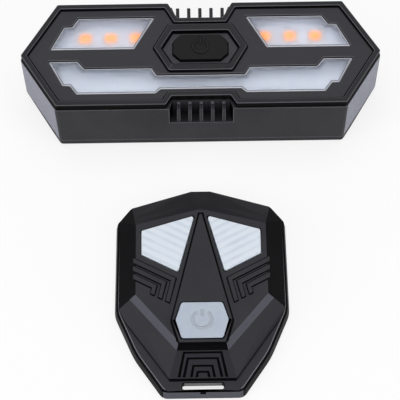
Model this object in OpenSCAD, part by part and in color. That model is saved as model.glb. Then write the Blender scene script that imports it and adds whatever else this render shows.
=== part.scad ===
// Bicycle tail light with turn signals, and the handlebar remote that works it.
// Both lie on their backs with their faces up: the light behind, the remote in front.
// X runs along the light, Y away from the viewer and Z out of the face.
// The origin is the middle of the light's back. All lengths are in millimetres.

/* [Light body] */
// Length from tip to tip, over the shell's upper edge
light_len = 99.4; // [94:0.1:120]
// Width across the long sides, over the shell's upper edge
light_w = 33.3; // [32:0.1:40]
// Height from the back to the top of the rim
light_h = 20.5; // [20:0.1:26]
// Length of each long side between its corners
light_flat = 79.3; // [76:0.1:96]
// How far each side leans in between the shell's upper edge and the back
light_draft = 0.5; // [0:0.1:1]
// Thickness of the shell's wall
shell_wall = 2; // [1.6:0.1:2.2]
// Radius of the upright corners
corner_r = 1.2; // [0.6:0.1:2]
// Thickness of the back cover
cover_t = 2.4; // [2:0.1:2.8]
// How far the back rises at the light's two tips
tip_rise = 2.2; // [0:0.1:2.3]

/* [Light face] */
// Step from the shell's upper edge in to the face
face_step = 0.25; // [0.1:0.05:0.5]
// Thickness of the rim's lip above the seal
lip_t = 0.4; // [0.3:0.1:0.8]
// Height of the black seal band
gasket_h = 2; // [1.6:0.1:2.2]
// Width of the seal
gasket_w = 1; // [0.8:0.1:1.2]
// Width of the raised rim
rim_w = 1.4; // [1.2:0.1:1.8]
// Drop from the rim to the panel
panel_drop = 0.7; // [0.3:0.1:1]
// Thickness of the panel
panel_t = 1.8; // [1.2:0.1:2]
// Thickness of the lenses' flanges under the panel
flange_t = 0.8; // [0.6:0.1:1]
// Width of the lenses' flanges beyond the windows
flange_w = 0.8; // [0.5:0.1:0.9]
// Drop from the panel to the lenses
lens_drop = 0.25; // [0.1:0.05:0.4]
// Thickness of the white reflector
reflector_t = 1.3; // [1.1:0.1:1.6]
// Thickness of the circuit board
board_t = 1.2; // [0.8:0.1:1.6]

/* [Vents] */
// Half width of the far notch at the edge, and at its floor
far_notch = [8.85, 6.3]; // [5.8:0.05:9.2]
// Depth of the far notch
far_notch_d = 4.8; // [4:0.1:5]
// Half width of the near notch at the edge, and at its floor
near_notch = [9.65, 8.1]; // [7.8:0.05:10]
// Depth of the near notch
near_notch_d = 2.7; // [2.4:0.1:2.8]
// Height of the recess floor above the back
recess_floor = 11; // [10:0.5:12]
// Thickness of the wall round the recess
recess_wall = 1.4; // [1.2:0.1:1.5]
// Number of fins in each recess
fin_count = 5; // [3:1:5]
// Spacing of the fins
fin_pitch = 3.1; // [2.6:0.1:3.2]
// Thickness of a fin
fin_t = 0.95; // [0.7:0.05:1.2]
// How far the near fins end below the shell's upper edge
fin_drop = 1.3; // [0.8:0.1:2]

/* [Power key of the light] */
// Distance from the long axis to the middle of the key
key_y = 2.05; // [1.8:0.05:2.2]
// Width and height of the key
key_size = [15, 8]; // [7:0.1:15.2]
// Cut at the key's corners
key_cut = 2; // [1:0.1:2.6]
// Half size of the ring's outline: tip, corner and half height
ring_out = [12.8, 8.65, 7.5]; // [7.4:0.05:13.2]
// Half size of the pocket inside the ring: tip, corner and half height
ring_in = [10.8, 7.75, 5.35]; // [5.2:0.05:11.2]
// Depth of the pocket below the rim
pocket_d = 1.2; // [0.8:0.1:1.4]
// Gap between the key and its opening
key_gap = 0.2; // [0.15:0.05:0.3]
// Travel of the key
key_travel = 0.4; // [0.2:0.05:0.5]

/* [Inside the light] */
// Length, width and height of the battery
battery = [40, 20, 6]; // [5:0.5:40]
// Distance of the cover screws from the tips and from the long sides
cover_screw_in = [19.7, 5.05]; // [5:0.05:22]
// Radius of the cover screws' shanks
cover_screw_r = 1.2; // [1:0.05:1.4]
// Distance of each board screw from the tip
board_screw_in = 5.1; // [4.9:0.1:5.5]
// Radius of the board screws' shanks
board_screw_r = 0.9; // [0.7:0.05:1]
// Spacing of the tail LEDs
tail_led_pitch = 8; // [6:0.5:9]
// Length, depth and height of the charging socket
socket = [9, 7.3, 3.2]; // [3:0.1:9.2]
// Distance from the middle to the charging socket
socket_x = 25; // [24:0.5:26]

/* [Bracket socket] */
// Width of the bracket's foot
bracket_w = 15; // [12:0.5:16]
// Width of the mouth between the lips
bracket_mouth = 10; // [8:0.5:11]
// Length of the socket
bracket_len = 17; // [15:0.5:17]
// Depth of the socket
bracket_d = 5; // [4.6:0.1:5.2]
// Thickness of the lips
bracket_lip = 1.8; // [1.4:0.1:2]

/* [Remote] */
// Place of the remote on the table
remote_at = [-0.6, -64.6]; // [-80:0.1:5]
// Width of the remote
remote_w = 46.8; // [45:0.1:56]
// Distance from the remote's middle to its chin
remote_chin = 30; // [29.8:0.1:33]
// Distance from the remote's middle to its crown
remote_crown = 31.2; // [31:0.1:38]
// Height of the remote's apron
apron_h = 3.2; // [3:0.1:3.6]
// Height of the flat plate that holds the keys
plate_h = 10.6; // [10.4:0.1:11.4]
// Height of the nose at its lower end
nose_h = 11.7; // [11.4:0.1:12.4]
// Height of the ledge at the foot of the plate
ledge_h = 8.3; // [7.8:0.1:8.6]
// Upright step from the apron to the upper shell
seam_step = 0.7; // [0.5:0.1:0.9]
// Thickness of the plate
plate_t = 1.6; // [1.4:0.1:1.8]
// Thickness of the base's floor
floor_t = 1.6; // [1.4:0.1:1.8]
// Gap between a key and its opening
pad_gap = 0.25; // [0.15:0.05:0.35]
// Travel of the remote's keys
pad_travel = 0.35; // [0.2:0.05:0.4]
// Length and width of the strap slot
slot_size = [10.9, 1.8]; // [1.4:0.1:12]
// Distance from the chin to the middle of the strap slot
slot_in = 2.2; // [2:0.05:2.4]

/* [Battery door] */
// Height of the coin cell
cell_h = 3.2; // [2.5:0.1:3.2]
// Place of the cell along the remote
cell_y = 3; // [2:0.5:4]
// Radius of the door
door_r = 11.3; // [10:0.1:11.6]
// Width of the door's edge beyond the coin cell
door_edge = 1.3; // [1.2:0.1:1.5]
// Running gap round the door
door_gap = 0.08; // [0.05:0.01:0.1]
// Reach of the bayonet lugs beyond the door
lug_w = 1.3; // [0.8:0.1:1.6]
// Turn between locked and open
door_turn = 35; // [25:1:40]

/* [Hidden] */
$fn = 48;

// Finishes
charcoal = "#3b3b3f";
charcoal_dark = "#303034";
black_rubber = "#151517";
clear_lens = "#d5e0ea";
opal_lens = "#e3e9ee";
white_part = "#eef0f0";
board_green = "#1f5a3a";
amber = "#f5a13c";
steel = "#b4b6b8";
pad_white = "#cfd8e2";

// Wall and roof of the bracket socket
pocket_wall = 1.2;

// Small clearances that several pieces share
fit_gap = 0.15;
lens_gap = 0.1;
running_gap = 0.05;
bite = 0.2;
speck = 0.02;

// Heights in the light, from the rim down
rim_z = light_h;
gasket_z = rim_z - lip_t;
shell_z = gasket_z - gasket_h;
panel_z = rim_z - panel_drop;
panel_low = min(panel_z - panel_t, shell_z - 0.2);
lens_low = panel_low - flange_t;
board_top = lens_low - reflector_t;
board_low = board_top - board_t;

// Plan of the light: half sizes, and how the slanted sides lean
tip = light_len / 2;
half_w = light_w / 2;
flat = light_flat / 2;
lean = (tip - flat) / half_w;
stretch = sqrt(1 + lean * lean);
face_half = half_w - face_step;
face_tip = tip - face_step * stretch;
board_screw_x = tip - board_screw_in;
cover_screw_at = [tip - cover_screw_in[0], half_w - cover_screw_in[1]];
bezel_seat = shell_wall + fit_gap - face_step;
reflector_in = bezel_seat + 0.2;
board_in = reflector_in + 0.2;

// Windows: margins from the face's outline and levels from its long axis
window_r = 0.25;
signal_low = 2;
signal_high = face_half - 3.95;
signal_step = signal_high - 2.8;
signal_out = face_tip - 7.85;
tail_out = face_tip - 7.45;
tail_low = -(face_half - 4);
tail_step = tail_low + 2.8;
window_in = ring_out[0] - 0.4;
signal_points = [[window_in + 5.8, signal_low], [signal_out, signal_low], [signal_out - 3.8, signal_step],
    [signal_out - 6.1, signal_step + 0.1], [signal_out - 7.8, signal_high], [window_in, signal_high]];
tail_points = both([[window_in - 1.4, tail_low + 1.3], [window_in, tail_low], [tail_out - 8, tail_low],
    [tail_out - 6.1, tail_step - 0.1], [tail_out - 4.1, tail_step], [tail_out, -1.55],
    [tail_out - 8.2, -1.55], [tail_out - 10.1, -4], [window_in + 1, -4], [window_in - 0.4, -6.35]]);
signal_led = [3.5, 2.8, 0.8];
tail_led = [2.8, 3.5, 0.8];
signal_led_y = (signal_low + signal_high) / 2 - 0.06;
signal_led_x = signal_out - 9.75;
signal_led_pitch = (signal_led_x - window_in - 5.4) / 2;
tail_led_y = (tail_low - 4.9) / 2;

// Switch under the light's key
switch_size = [6, 6, 0.9];
plunger_r = 1.4;
plunger_h = 0.45;
key_flange_w = 0.8;
key_top = rim_z - 0.2;
key_low = board_top + switch_size[2] + plunger_h;
plunger_low = board_top + key_travel + 0.3;

// Screws
head_r = 2.4;
head_t = 1.2;
boss_r = 2.5;
cover_boss_top = 9.8;
board_head_r = 1.8;
board_head_t = 1.1;
board_boss_r = 2.3;
thread_gap = 0.05;

// Flap over the charging socket, on the far wall
flap_sink = 0.7;
flap_pin = [socket_x - 5.5, half_w - flap_sink];
flap_end = socket_x + 6.2;
flap_t = 0.9;
flap_h = 6.6;
flap_pin_r = 0.5;
socket_z = board_low - socket[2] / 2;
flap_in = flap_pin[1] - flap_pin_r;

// Plan of the remote, right half, from the chin to the crown
remote_side = remote_w / 2;
remote_half = [[10.7, -remote_chin], [remote_side - 5.2, 11.4 - remote_chin], [remote_side, -6],
    [remote_side - 0.4, remote_crown - 10], [remote_side - 4.1, remote_crown - 5.2], [2.8, remote_crown]];
remote_r = [2.5, 25, 8, 1.2, 1.5, 5];
remote_lean = 0.5;
seam_half = [[8.9, 4 - remote_chin], [remote_side - 3, -9.2], [remote_side - 1.2, -5.4],
    [remote_side - 1.4, remote_crown - 10.4], [remote_side - 4.7, remote_crown - 6], [2.6, remote_crown - 1]];
plate_half = [[6.2, -18.4], [remote_side - 5.85, -4.5], [remote_side - 5.95, remote_crown - 14.6],
    [1, remote_crown - 10.3]];
nose_half = [[6.1, -19.1], [7.9, -12.5], [0.3, remote_crown - 11.7]];
pad_out = remote_side - 7.5;
pad_points = [[6.2, 2.1], [pad_out, 7.4], [pad_out, remote_crown - 16.6], [1.75, remote_crown - 12.2]];
slot_y = slot_in - remote_chin;
power_points = both([[5.45, -18], [7, -12.6], [5.4, -7.5]]);
seam_z = apron_h + seam_step;
chin_top = [6.75, -19.9];
ledge_share = (plate_h - ledge_h) / (plate_h - seam_z);
ledge_half = [chin_top, blend(plate_half[1], seam_half[2]), blend(plate_half[2], seam_half[3]),
    blend(plate_half[2], seam_half[4]), blend(plate_half[3], seam_half[5])];
ceiling_z = plate_h - plate_t;
wall_in = 1.7;

// Stack inside the remote, from the battery door up
cell_r = door_r - door_edge;
cell_z = floor_t + 0.15;
remote_board_low = cell_z + cell_h + 0.35;
remote_board_t = 1;
remote_board_top = remote_board_low + remote_board_t;
remote_switch = [4.5, 4.5, 1];
pad_plunger_r = 1;
pad_plunger_top = remote_board_top + remote_switch[2] + pad_travel + 0.1;
pad_flange_t = 0.7;
pad_flange_w = 0.6;
pad_top = plate_h + 0.25;
power_top = nose_h + 0.1;
pad_middle = [pad_out - 5.5, 10.8];
power_middle = [0, -12.6];
remote_screw_at = [[remote_side - 6.2, 10], [13.3, -11.5]];
remote_boss_top = [7, 5.2];
remote_screw_r = 1;
remote_head_r = 1.9;
remote_head_t = 0.8;
post_at = [[remote_side - 10.1, 12.6], [11.6, -6.6]];
holder_wall = 1;
contact_t = 0.3;
contact_size = cell_r * [0.3, 1.2];
lug_t = 0.8;
ring_wire = 0.45;
ring_z = 0.85;
ring_r = door_r + door_gap - 0.03 - ring_wire;
coin_slot = [1.06 * door_r, 1.8, 0.8];

// Grip ridges beside the nose
ridge_count = 3;
ridge_w = 1.3;
ridge_leg_w = 1.1;
ridge_pitch = 2.1;
ridge_leg_pitch = 2.2;
ridge_h = 0.4;
ridge_first = 2.05;
ridge_leg_first = 1.9;
ridge_end = 9.2;

// Grooves on the chin: half width at the top, at the foot, and distance down the slope
chin_grooves = [[5.1, 6.6, 0.35], [4.1, 5.3, 1.9], [2.7, 3.35, 3.9], [1.55, 2, 5.5]];
chin_groove_w = 0.45;
chin_groove_d = 0.4;
chin_foot = 7.1;

// Unit vector along v
function unit(v) = v / norm(v);

// Whole outline from its right half, listed anticlockwise
function both(half) = concat(half, [for (i = [len(half) - 1 : -1 : 0])
    if (abs(half[i][0]) > 0.001) [-half[i][0], half[i][1]]]);

// Anticlockwise outline with every side moved inwards by d
function inset(p, d) = let (n = len(p)) [for (i = [0 : n - 1])
    let (u = unit(p[i] - p[(i + n - 1) % n]), v = unit(p[(i + 1) % n] - p[i]),
        nu = [-u[1], u[0]], nv = [-v[1], v[0]])
    p[i] + d / (1 + nu * nv) * (nu + nv)];

// Outline with its corners rounded, r being one radius or a list of them
function soften(p, r, steps = 4) = let (n = len(p)) [for (i = [0 : n - 1])
    let (u = unit(p[(i + n - 1) % n] - p[i]), v = unit(p[(i + 1) % n] - p[i]),
        room = 0.45 * min(norm(p[(i + n - 1) % n] - p[i]), norm(p[(i + 1) % n] - p[i])),
        half = acos(u * v) / 2,
        t = min((is_list(r) ? r[i] : r) / tan(half), room),
        middle = p[i] + unit(u + v) * t / cos(half),
        from = p[i] + u * t - middle,
        to = p[i] + v * t - middle,
        start = atan2(from[1], from[0]),
        turn = (atan2(to[1], to[0]) - start + 540) % 360 - 180)
    for (k = [0 : steps]) middle + norm(from) * [cos(start + turn * k / steps), sin(start + turn * k / steps)]];

// Six-sided outline of the light, d inside the shell's upper edge
function hexagon(d) = let (h = half_w - d, t = tip - d * stretch)
    both([[t - lean * h, -h], [t, 0], [t - lean * h, h]]);

// How far the shell's side has leaned in at height z
function lean_in(z) = light_draft * (shell_z - z) / shell_z;

// Outline of the shell at height z, drawn in by more: the near side stands upright, the others lean in
function drafted(z, more = 0) = let (d = lean_in(z))
    [for (p = hexagon(d + more)) p[1] < -1 ? [p[0] - sign(p[0]) * lean * d, p[1] - d] : p];

// Outline of the face with its two notches
function face_points() = both([[near_notch[1], near_notch_d - face_half], [near_notch[0], -face_half],
    [face_tip - lean * face_half, -face_half], [face_tip, 0], [face_tip - lean * face_half, face_half],
    [far_notch[0], face_half], [far_notch[1], face_half - far_notch_d]]);

// Face outline d inside its edge, with rounded corners
function face(d, r = 0.6) = soften(inset(face_points(), d), r);

// Six-sided outline round the key, from its tip, corner and half height
function key_hexagon(size) = [for (p = both([[size[1], -size[2]], [size[0], 0], [size[1], size[2]]]))
    p + [0, key_y]];

// Outline of the key, grown by d
function key_outline(d) = let (w = key_size[0] / 2, h = key_size[1] / 2, c = key_cut)
    [for (p = inset(both([[w - c, -h], [w, c - h], [w, h - c], [w - c, h]]), -d)) p + [0, key_y]];

// Point at the ledge's height on the slope from plate point a to seam point b
function blend(a, b) = a + (b - a) * ledge_share;

// Point where the line through p along u meets the line through q along v
function meet(p, u, q, v) = let (w = q - p)
    p + u * (w[0] * v[1] - w[1] * v[0]) / (u[0] * v[1] - u[1] * v[0]);

// Straight prism between two heights
module prism(points, z0, z1) {
    translate([0, 0, z0])
        linear_extrude(z1 - z0)
            polygon(points);
}

// Solid between two outlines that have as many points
module frustum(low, high, z0, z1) {
    n = len(low);
    polyhedron(
        points = concat([for (p = low) [p[0], p[1], z0]], [for (p = high) [p[0], p[1], z1]]),
        faces = concat([[for (i = [0 : n - 1]) i]], [[for (i = [n - 1 : -1 : 0]) n + i]],
            [for (i = [0 : n - 1]) [i, n + i, n + (i + 1) % n]],
            [for (i = [0 : n - 1]) [i, n + (i + 1) % n, (i + 1) % n]]));
}

// Convex solid round a set of points, both sides of the middle
module faceted(points) {
    hull()
        for (p = points, side = [-1, 1])
            translate([side * p[0], p[1], p[2]])
                cube(speck, center = true);
}

// Copies on the four corners of a half spacing
module four(at) {
    for (x = [-at[0], at[0]], y = [-at[1], at[1]])
        translate([x, y, 0])
            children();
}

// Copies on the left and the right
module pair(x) {
    for (side = [-x, x])
        translate([side, 0, 0])
            children();
}

// Screw standing on its head, with a cross in the head
module screw(r, length, r_head, t_head) {
    cross = [1.3 * r_head, 0.3 * r_head];
    difference() {
        union() {
            cylinder(r = r_head, h = t_head);
            cylinder(r = r, h = t_head + length);
        }
        for (turn = [0, 90])
            rotate(turn)
                cube([cross[0], cross[1], t_head], center = true);
    }
}

// Power mark: an open ring and a bar
module power_mark(r, stroke, h) {
    opening = 35;
    difference() {
        cylinder(r = r + stroke / 2, h = h);
        translate([0, 0, -bite])
            cylinder(r = r - stroke / 2, h = h + 2 * bite);
        translate([0, 0, -bite])
            linear_extrude(h + 2 * bite)
                polygon([[0, 0], 3 * r * [sin(opening), cos(opening)], 3 * r * [-sin(opening), cos(opening)]]);
    }
    translate([-stroke / 2, r * 0.35, 0])
        cube([stroke, r * 1.15, h]);
}

// Space of a vent recess, grown by d: side is -1 for the near wall and 1 for the far one
module recess_space(side, d, z0, z1) {
    notch = side < 0 ? near_notch : far_notch;
    depth = side < 0 ? near_notch_d : far_notch_d;
    step_in = 0.3;
    back = side * (face_half - depth - d);
    outside = side * (half_w + 2);
    wide = notch[0] - step_in + d;
    narrow = notch[1] - step_in + d;
    prism([[-wide, outside], [wide, outside], [narrow, back], [-narrow, back]], z0, z1);
}

// Row of upright fins in a recess
module fins(side) {
    depth = side < 0 ? near_notch_d : far_notch_d;
    back = face_half - depth - bite;
    front = half_w - lean_in(recess_floor) - 0.05;
    low = recess_floor - bite;
    high = shell_z - (side < 0 ? fin_drop : 0);
    nose = 0.3;
    foot = 0.5;
    arc = [for (a = [0 : 15 : 90]) [front - nose + nose * cos(a), high - nose + nose * sin(a)]];
    for (i = [0 : fin_count - 1])
        translate([(i - (fin_count - 1) / 2) * fin_pitch, 0, 0])
            mirror([0, side < 0 ? 1 : 0, 0])
                translate([-fin_t / 2, 0, 0])
                    rotate([90, 0, 90])
                        linear_extrude(fin_t)
                            polygon(concat([[back, low], [front, low]], arc, side < 0 ?
                                [[back + bite + foot, high], [back + bite, high + foot], [back, high + foot]] :
                                [[back, high]]));
}

// Housing of the light with its vents, screw bosses and the flap's recess
module light_shell() color(charcoal) {
    outer_low = soften(drafted(cover_t), corner_r);
    outer_high = soften(hexagon(0), corner_r);
    inner_r = 0.4;
    z_in = cover_t - 1;
    z_out = shell_z + 1;
    boss_y = cover_screw_at[1];
    ledge = [3, 2.4, 1.5];
    difference() {
        union() {
            difference() {
                frustum(outer_low, outer_high, cover_t, shell_z);
                frustum(soften(hexagon(shell_wall + lean_in(z_in)), inner_r),
                    soften(hexagon(shell_wall + lean_in(z_out)), inner_r), z_in, z_out);
            }
            intersection() {
                frustum(outer_low, outer_high, cover_t, shell_z);
                union() {
                    for (side = [-1, 1])
                        recess_space(side, recess_wall, recess_floor - recess_wall, shell_z);
                    four(cover_screw_at)
                        translate([0, 0, cover_t])
                            cylinder(r = boss_r, h = cover_boss_top - cover_t);
                    for (x = [-1, 1], y = [-1, 1])
                        translate([x * cover_screw_at[0] - 0.8, y > 0 ? boss_y : -half_w, cover_t])
                            cube([1.6, half_w - boss_y, cover_boss_top - cover_t]);
                    pair(board_screw_x)
                        translate([0, 0, board_low - 5])
                            cylinder(r = board_boss_r, h = 5);
                    for (x = [-1, 1])
                        translate([x > 0 ? board_screw_x : -tip, -0.8, board_low - 5])
                            cube([tip - board_screw_x, 1.6, 5]);
                    for (x = [-1, 1], y = [-1, 1])
                        translate([x * 16 - ledge[0] / 2, y > 0 ? half_w - shell_wall - ledge[1] + 0.6 : -half_w,
                            board_low - ledge[2]])
                            cube([ledge[0], ledge[1] + shell_wall - 0.6, ledge[2]]);
                }
            }
        }
        for (side = [-1, 1])
            recess_space(side, 0, recess_floor, shell_z + 1);
        four(cover_screw_at)
            cylinder(r = cover_screw_r + thread_gap, h = cover_boss_top - 0.8);
        pair(board_screw_x)
            translate([0, 0, board_low - 4])
                cylinder(r = board_screw_r + thread_gap, h = 5);
        flap_recess();
    }
    for (side = [-1, 1])
        fins(side);
}

// Recess for the flap and the opening to the charging socket
module flap_recess() {
    room = 0.2;
    low = socket_z - flap_h / 2 - room;
    tall = flap_h + 2 * room;
    translate([flap_pin[0] - flap_pin_r - room, flap_in - 0.05, low])
        cube([flap_end - flap_pin[0] + flap_pin_r + 2 * room, 4, tall]);
    translate([socket_x, flap_in + bite, socket_z])
        rotate([90, 0, 0])
            linear_extrude(4)
                polygon(socket_outline(-0.3));
}

// Mouth of the charging socket, d inside its shell
function socket_outline(d) = soften(inset([[-1, -1], [1, -1], [1, 1], [-1, 1]]
    * [[socket[0] / 2, 0], [0, socket[2] / 2]], d), 1.3);

// Back plate with its tongue and the socket for the bracket's foot
module light_back_cover() color(charcoal_dark) {
    edge = 0.6;
    tongue_h = 1.5;
    tongue_t = 1.2;
    entry = bracket_len / 2;
    middle_y = bracket_len / 4;
    tongue = shell_wall + lean_in(cover_t) + fit_gap;
    socket_top = bracket_d + pocket_wall;
    difference() {
        union() {
            frustum(soften(drafted(0, edge), corner_r), soften(drafted(edge), corner_r), 0, edge);
            frustum(soften(drafted(edge), corner_r), soften(drafted(cover_t), corner_r), edge, cover_t);
            difference() {
                prism(hexagon(tongue), cover_t - bite, cover_t + tongue_h);
                prism(hexagon(tongue + tongue_t), cover_t - 1, cover_t + tongue_h + 1);
                four(cover_screw_at)
                    cylinder(r = boss_r + 0.4, h = 10);
                four([cover_screw_at[0], half_w])
                    cube([2.6, 12, 20], center = true);
            }
            translate([-bracket_w / 2 - pocket_wall, middle_y - bracket_len / 2 - pocket_wall, cover_t - bite])
                cube([bracket_w + 2 * pocket_wall, bracket_len + 2 * pocket_wall, socket_top - cover_t + bite]);
        }
        for (side = [0, 1])
            mirror([side, 0, 0])
                rotate([90, 0, 0])
                    linear_extrude(light_w + 4, center = true)
                        polygon([[flat, 0], [flat, -1], [tip + 2, -1], [tip + 2, tip_rise * (tip + 2 - flat) / (tip - flat)]]);
        translate([-bracket_w / 2, middle_y - bracket_len / 2, bracket_lip])
            cube([bracket_w, bracket_len, bracket_d - bracket_lip]);
        translate([-bracket_mouth / 2, middle_y - bracket_len / 2, -1])
            cube([bracket_mouth, bracket_len, bracket_lip + 2]);
        translate([-bracket_w / 2, middle_y, -1])
            cube([bracket_w, entry, bracket_lip + 2]);
        four(cover_screw_at) {
            translate([0, 0, -1])
                cylinder(r = cover_screw_r + 0.25, h = cover_t + 2);
            translate([0, 0, -1])
                cylinder(r = head_r + 0.2, h = head_t + 1.1);
        }
    }
}

// Front cover: rim, sunk panel, windows, and the ring round the key
module light_bezel() color(charcoal) {
    pocket_z = rim_z - pocket_d;
    difference() {
        union() {
            difference() {
                union() {
                    prism(face(0), gasket_z, rim_z);
                    prism(face(gasket_w), shell_z, rim_z);
                    prism(face(bezel_seat), panel_low, rim_z);
                }
                prism(face(rim_w), panel_z, rim_z + 1);
            }
            prism(soften(key_hexagon(ring_out), 0.8), panel_z - bite, rim_z);
        }
        prism(soften(key_hexagon(ring_in), 0.6), pocket_z, rim_z + 1);
        prism(key_outline(key_gap), panel_low - 1, rim_z + 1);
        for (side = [0, 1])
            mirror([side, 0, 0])
                prism(soften(signal_points, window_r), panel_low - 1, rim_z + 1);
        prism(soften(tail_points, window_r), panel_low - 1, rim_z + 1);
    }
}

// Seal that shows as the black band under the rim
module light_gasket() color(black_rubber) {
    difference() {
        prism(face(0.05), shell_z, gasket_z);
        prism(face(gasket_w), shell_z - 1, gasket_z + 1);
    }
}

// Window with its flange under the panel
module lens(points) {
    prism(soften(inset(points, lens_gap), window_r), lens_low, panel_z - lens_drop);
    prism(soften(inset(points, -flange_w), window_r), lens_low, panel_low);
}

module right_signal_lens() color(clear_lens)
    lens(signal_points);

module left_signal_lens() color(clear_lens)
    mirror([1, 0, 0])
        lens(signal_points);

module tail_lens() color(opal_lens)
    lens(tail_points);

// Places of the signal LEDs
module at_signal_leds() {
    for (side = [-1, 1], i = [0 : 2])
        translate([side * (signal_led_x - i * signal_led_pitch), signal_led_y, board_top])
            children();
}

// Places of the tail LEDs
module at_tail_leds() {
    for (i = [-3.5 : 1 : 3.5])
        translate([i * tail_led_pitch, tail_led_y, board_top])
            children();
}

// White tray with a cell under each window and an opening round each LED
module light_reflector() color(white_part) {
    cell_room = 0.2;
    led_room = 0.2 * [1, 1, 0];
    tray_floor = board_top + 0.3;
    notch_r = board_head_r + 0.6;
    difference() {
        prism(face(reflector_in, 0.4), board_top, lens_low);
        for (side = [0, 1])
            mirror([side, 0, 0])
                prism(soften(inset(signal_points, -cell_room), window_r), tray_floor, lens_low + 1);
        prism(soften(inset(tail_points, -cell_room), window_r), tray_floor, lens_low + 1);
        at_signal_leds()
            cube(signal_led + 2 * led_room + [0, 0, 1], center = true);
        at_tail_leds()
            cube(tail_led + 2 * led_room + [0, 0, 1], center = true);
        prism(key_outline(key_flange_w + 0.5), board_top - 1, lens_low + 1);
        for (side = [0, 1])
            mirror([side, 0, 0])
                translate([board_screw_x, 0, 0]) {
                    cylinder(r = notch_r, h = rim_z);
                    translate([0, -notch_r, 0])
                        cube([board_screw_in, 2 * notch_r, rim_z]);
                }
    }
}

// Circuit board on the shell's ledges
module light_board() color(board_green) {
    difference() {
        prism(face(board_in, 0.4), board_low, board_top);
        pair(board_screw_x)
            cylinder(r = board_screw_r + 0.15, h = rim_z);
    }
}

// One chip LED on the board
module chip_led(size) {
    glow_h = 0.1;
    glow_r = min(size[0], size[1]) / 2 - 0.15;
    translate([-size[0] / 2, -size[1] / 2, 0])
        cube(size);
    cylinder(r = glow_r, h = size[2] + glow_h);
}

module signal_leds() color(amber)
    at_signal_leds()
        chip_led(signal_led);

module tail_leds() color(white_part)
    at_tail_leds()
        chip_led(tail_led);

// Rubber key with its raised power mark
module light_power_key() color(black_rubber) {
    mark_r = 2.05;
    mark_h = 0.2;
    flange_top = panel_low - 0.1;
    prism(soften(key_outline(0), 0.5), flange_top - bite, key_top);
    prism(key_outline(key_flange_w), flange_top - 0.5, flange_top);
    translate([0, key_y, key_low])
        cylinder(r = 1.8, h = flange_top - key_low - bite);
    translate([0, key_y + 0.2, key_top - bite])
        power_mark(mark_r, 0.55, mark_h + bite);
}

// Tact switch on the board under the key
module light_switch() color(steel)
    translate([0, key_y, board_top])
        difference() {
            translate([-switch_size[0] / 2, -switch_size[1] / 2, 0])
                cube(switch_size);
            translate([0, 0, 0.15])
                cylinder(r = plunger_r + running_gap, h = switch_size[2]);
        }

module light_plunger() color(black_rubber)
    translate([0, key_y, plunger_low])
        cylinder(r = plunger_r, h = key_low - plunger_low);

// Flat lithium cell lying on the bracket socket's roof
module light_battery() color("#8d9aa3") {
    bottom = bracket_d + pocket_wall;
    soft = 1;
    translate([-battery[0] / 2, 0, bottom + battery[2] / 2])
        rotate([90, 0, 90])
            linear_extrude(battery[0])
                polygon(soften([[-battery[1] / 2, -battery[2] / 2], [battery[1] / 2, -battery[2] / 2],
                    [battery[1] / 2, battery[2] / 2], [-battery[1] / 2, battery[2] / 2]], soft));
}

// Charging socket under the board, its mouth at the far wall
module charge_socket() color(steel) {
    metal = 0.3;
    tongue_t = 0.7;
    mouth = half_w - shell_wall - 0.2;
    translate([socket_x, mouth, socket_z])
        rotate([90, 0, 0]) {
            difference() {
                linear_extrude(socket[1])
                    polygon(socket_outline(0));
                translate([0, 0, -1])
                    linear_extrude(socket[1] - 1)
                        polygon(socket_outline(metal));
            }
            translate([-socket[0] / 2 + 1.2, -tongue_t / 2, 0.8])
                cube([socket[0] - 2.4, tongue_t, socket[1] - 1.2]);
        }
}

// Rubber flap with its knuckle, its plug and a pull tab
module charge_cover() color(black_rubber) {
    plug_in = 0.7;
    translate([flap_pin[0], flap_in, socket_z - flap_h / 2])
        cube([flap_end - flap_pin[0], flap_t, flap_h]);
    translate([flap_pin[0], flap_pin[1], socket_z - flap_h / 2])
        cylinder(r = flap_pin_r, h = flap_h);
    translate([socket_x, flap_in + bite, socket_z])
        rotate([90, 0, 0])
            linear_extrude(plug_in + bite)
                polygon(socket_outline(0.45));
}

// Receiver on the underside of the board
module radio_receiver() color(board_green) {
    at = [16.7 - tip, 0];
    base = [12, 10, 0.8];
    can = [8, 7, 1.6];
    translate([at[0] - base[0] / 2, at[1] - base[1] / 2, board_low - base[2]])
        cube(base);
    translate([at[0] - can[0] / 2, at[1] - can[1] / 2, board_low - base[2] - can[2]])
        cube(can);
}

module cover_screws() color(steel)
    four(cover_screw_at)
        translate([0, 0, 0.1])
            screw(cover_screw_r, cover_boss_top - head_t - 1.2, head_r, head_t);

module board_screws() color(steel)
    pair(board_screw_x)
        translate([0, 0, board_top + board_head_t])
            mirror([0, 0, 1])
                screw(board_screw_r, board_t + 3.6, board_head_r, board_head_t);

// Puts a piece of the remote in its place on the table
module at_remote() {
    translate([remote_at[0], remote_at[1], 0])
        children();
}

// Copies of a right-hand piece at both sides of the remote
module two_sides() {
    for (side = [0, 1])
        mirror([side, 0, 0])
            children();
}

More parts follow.
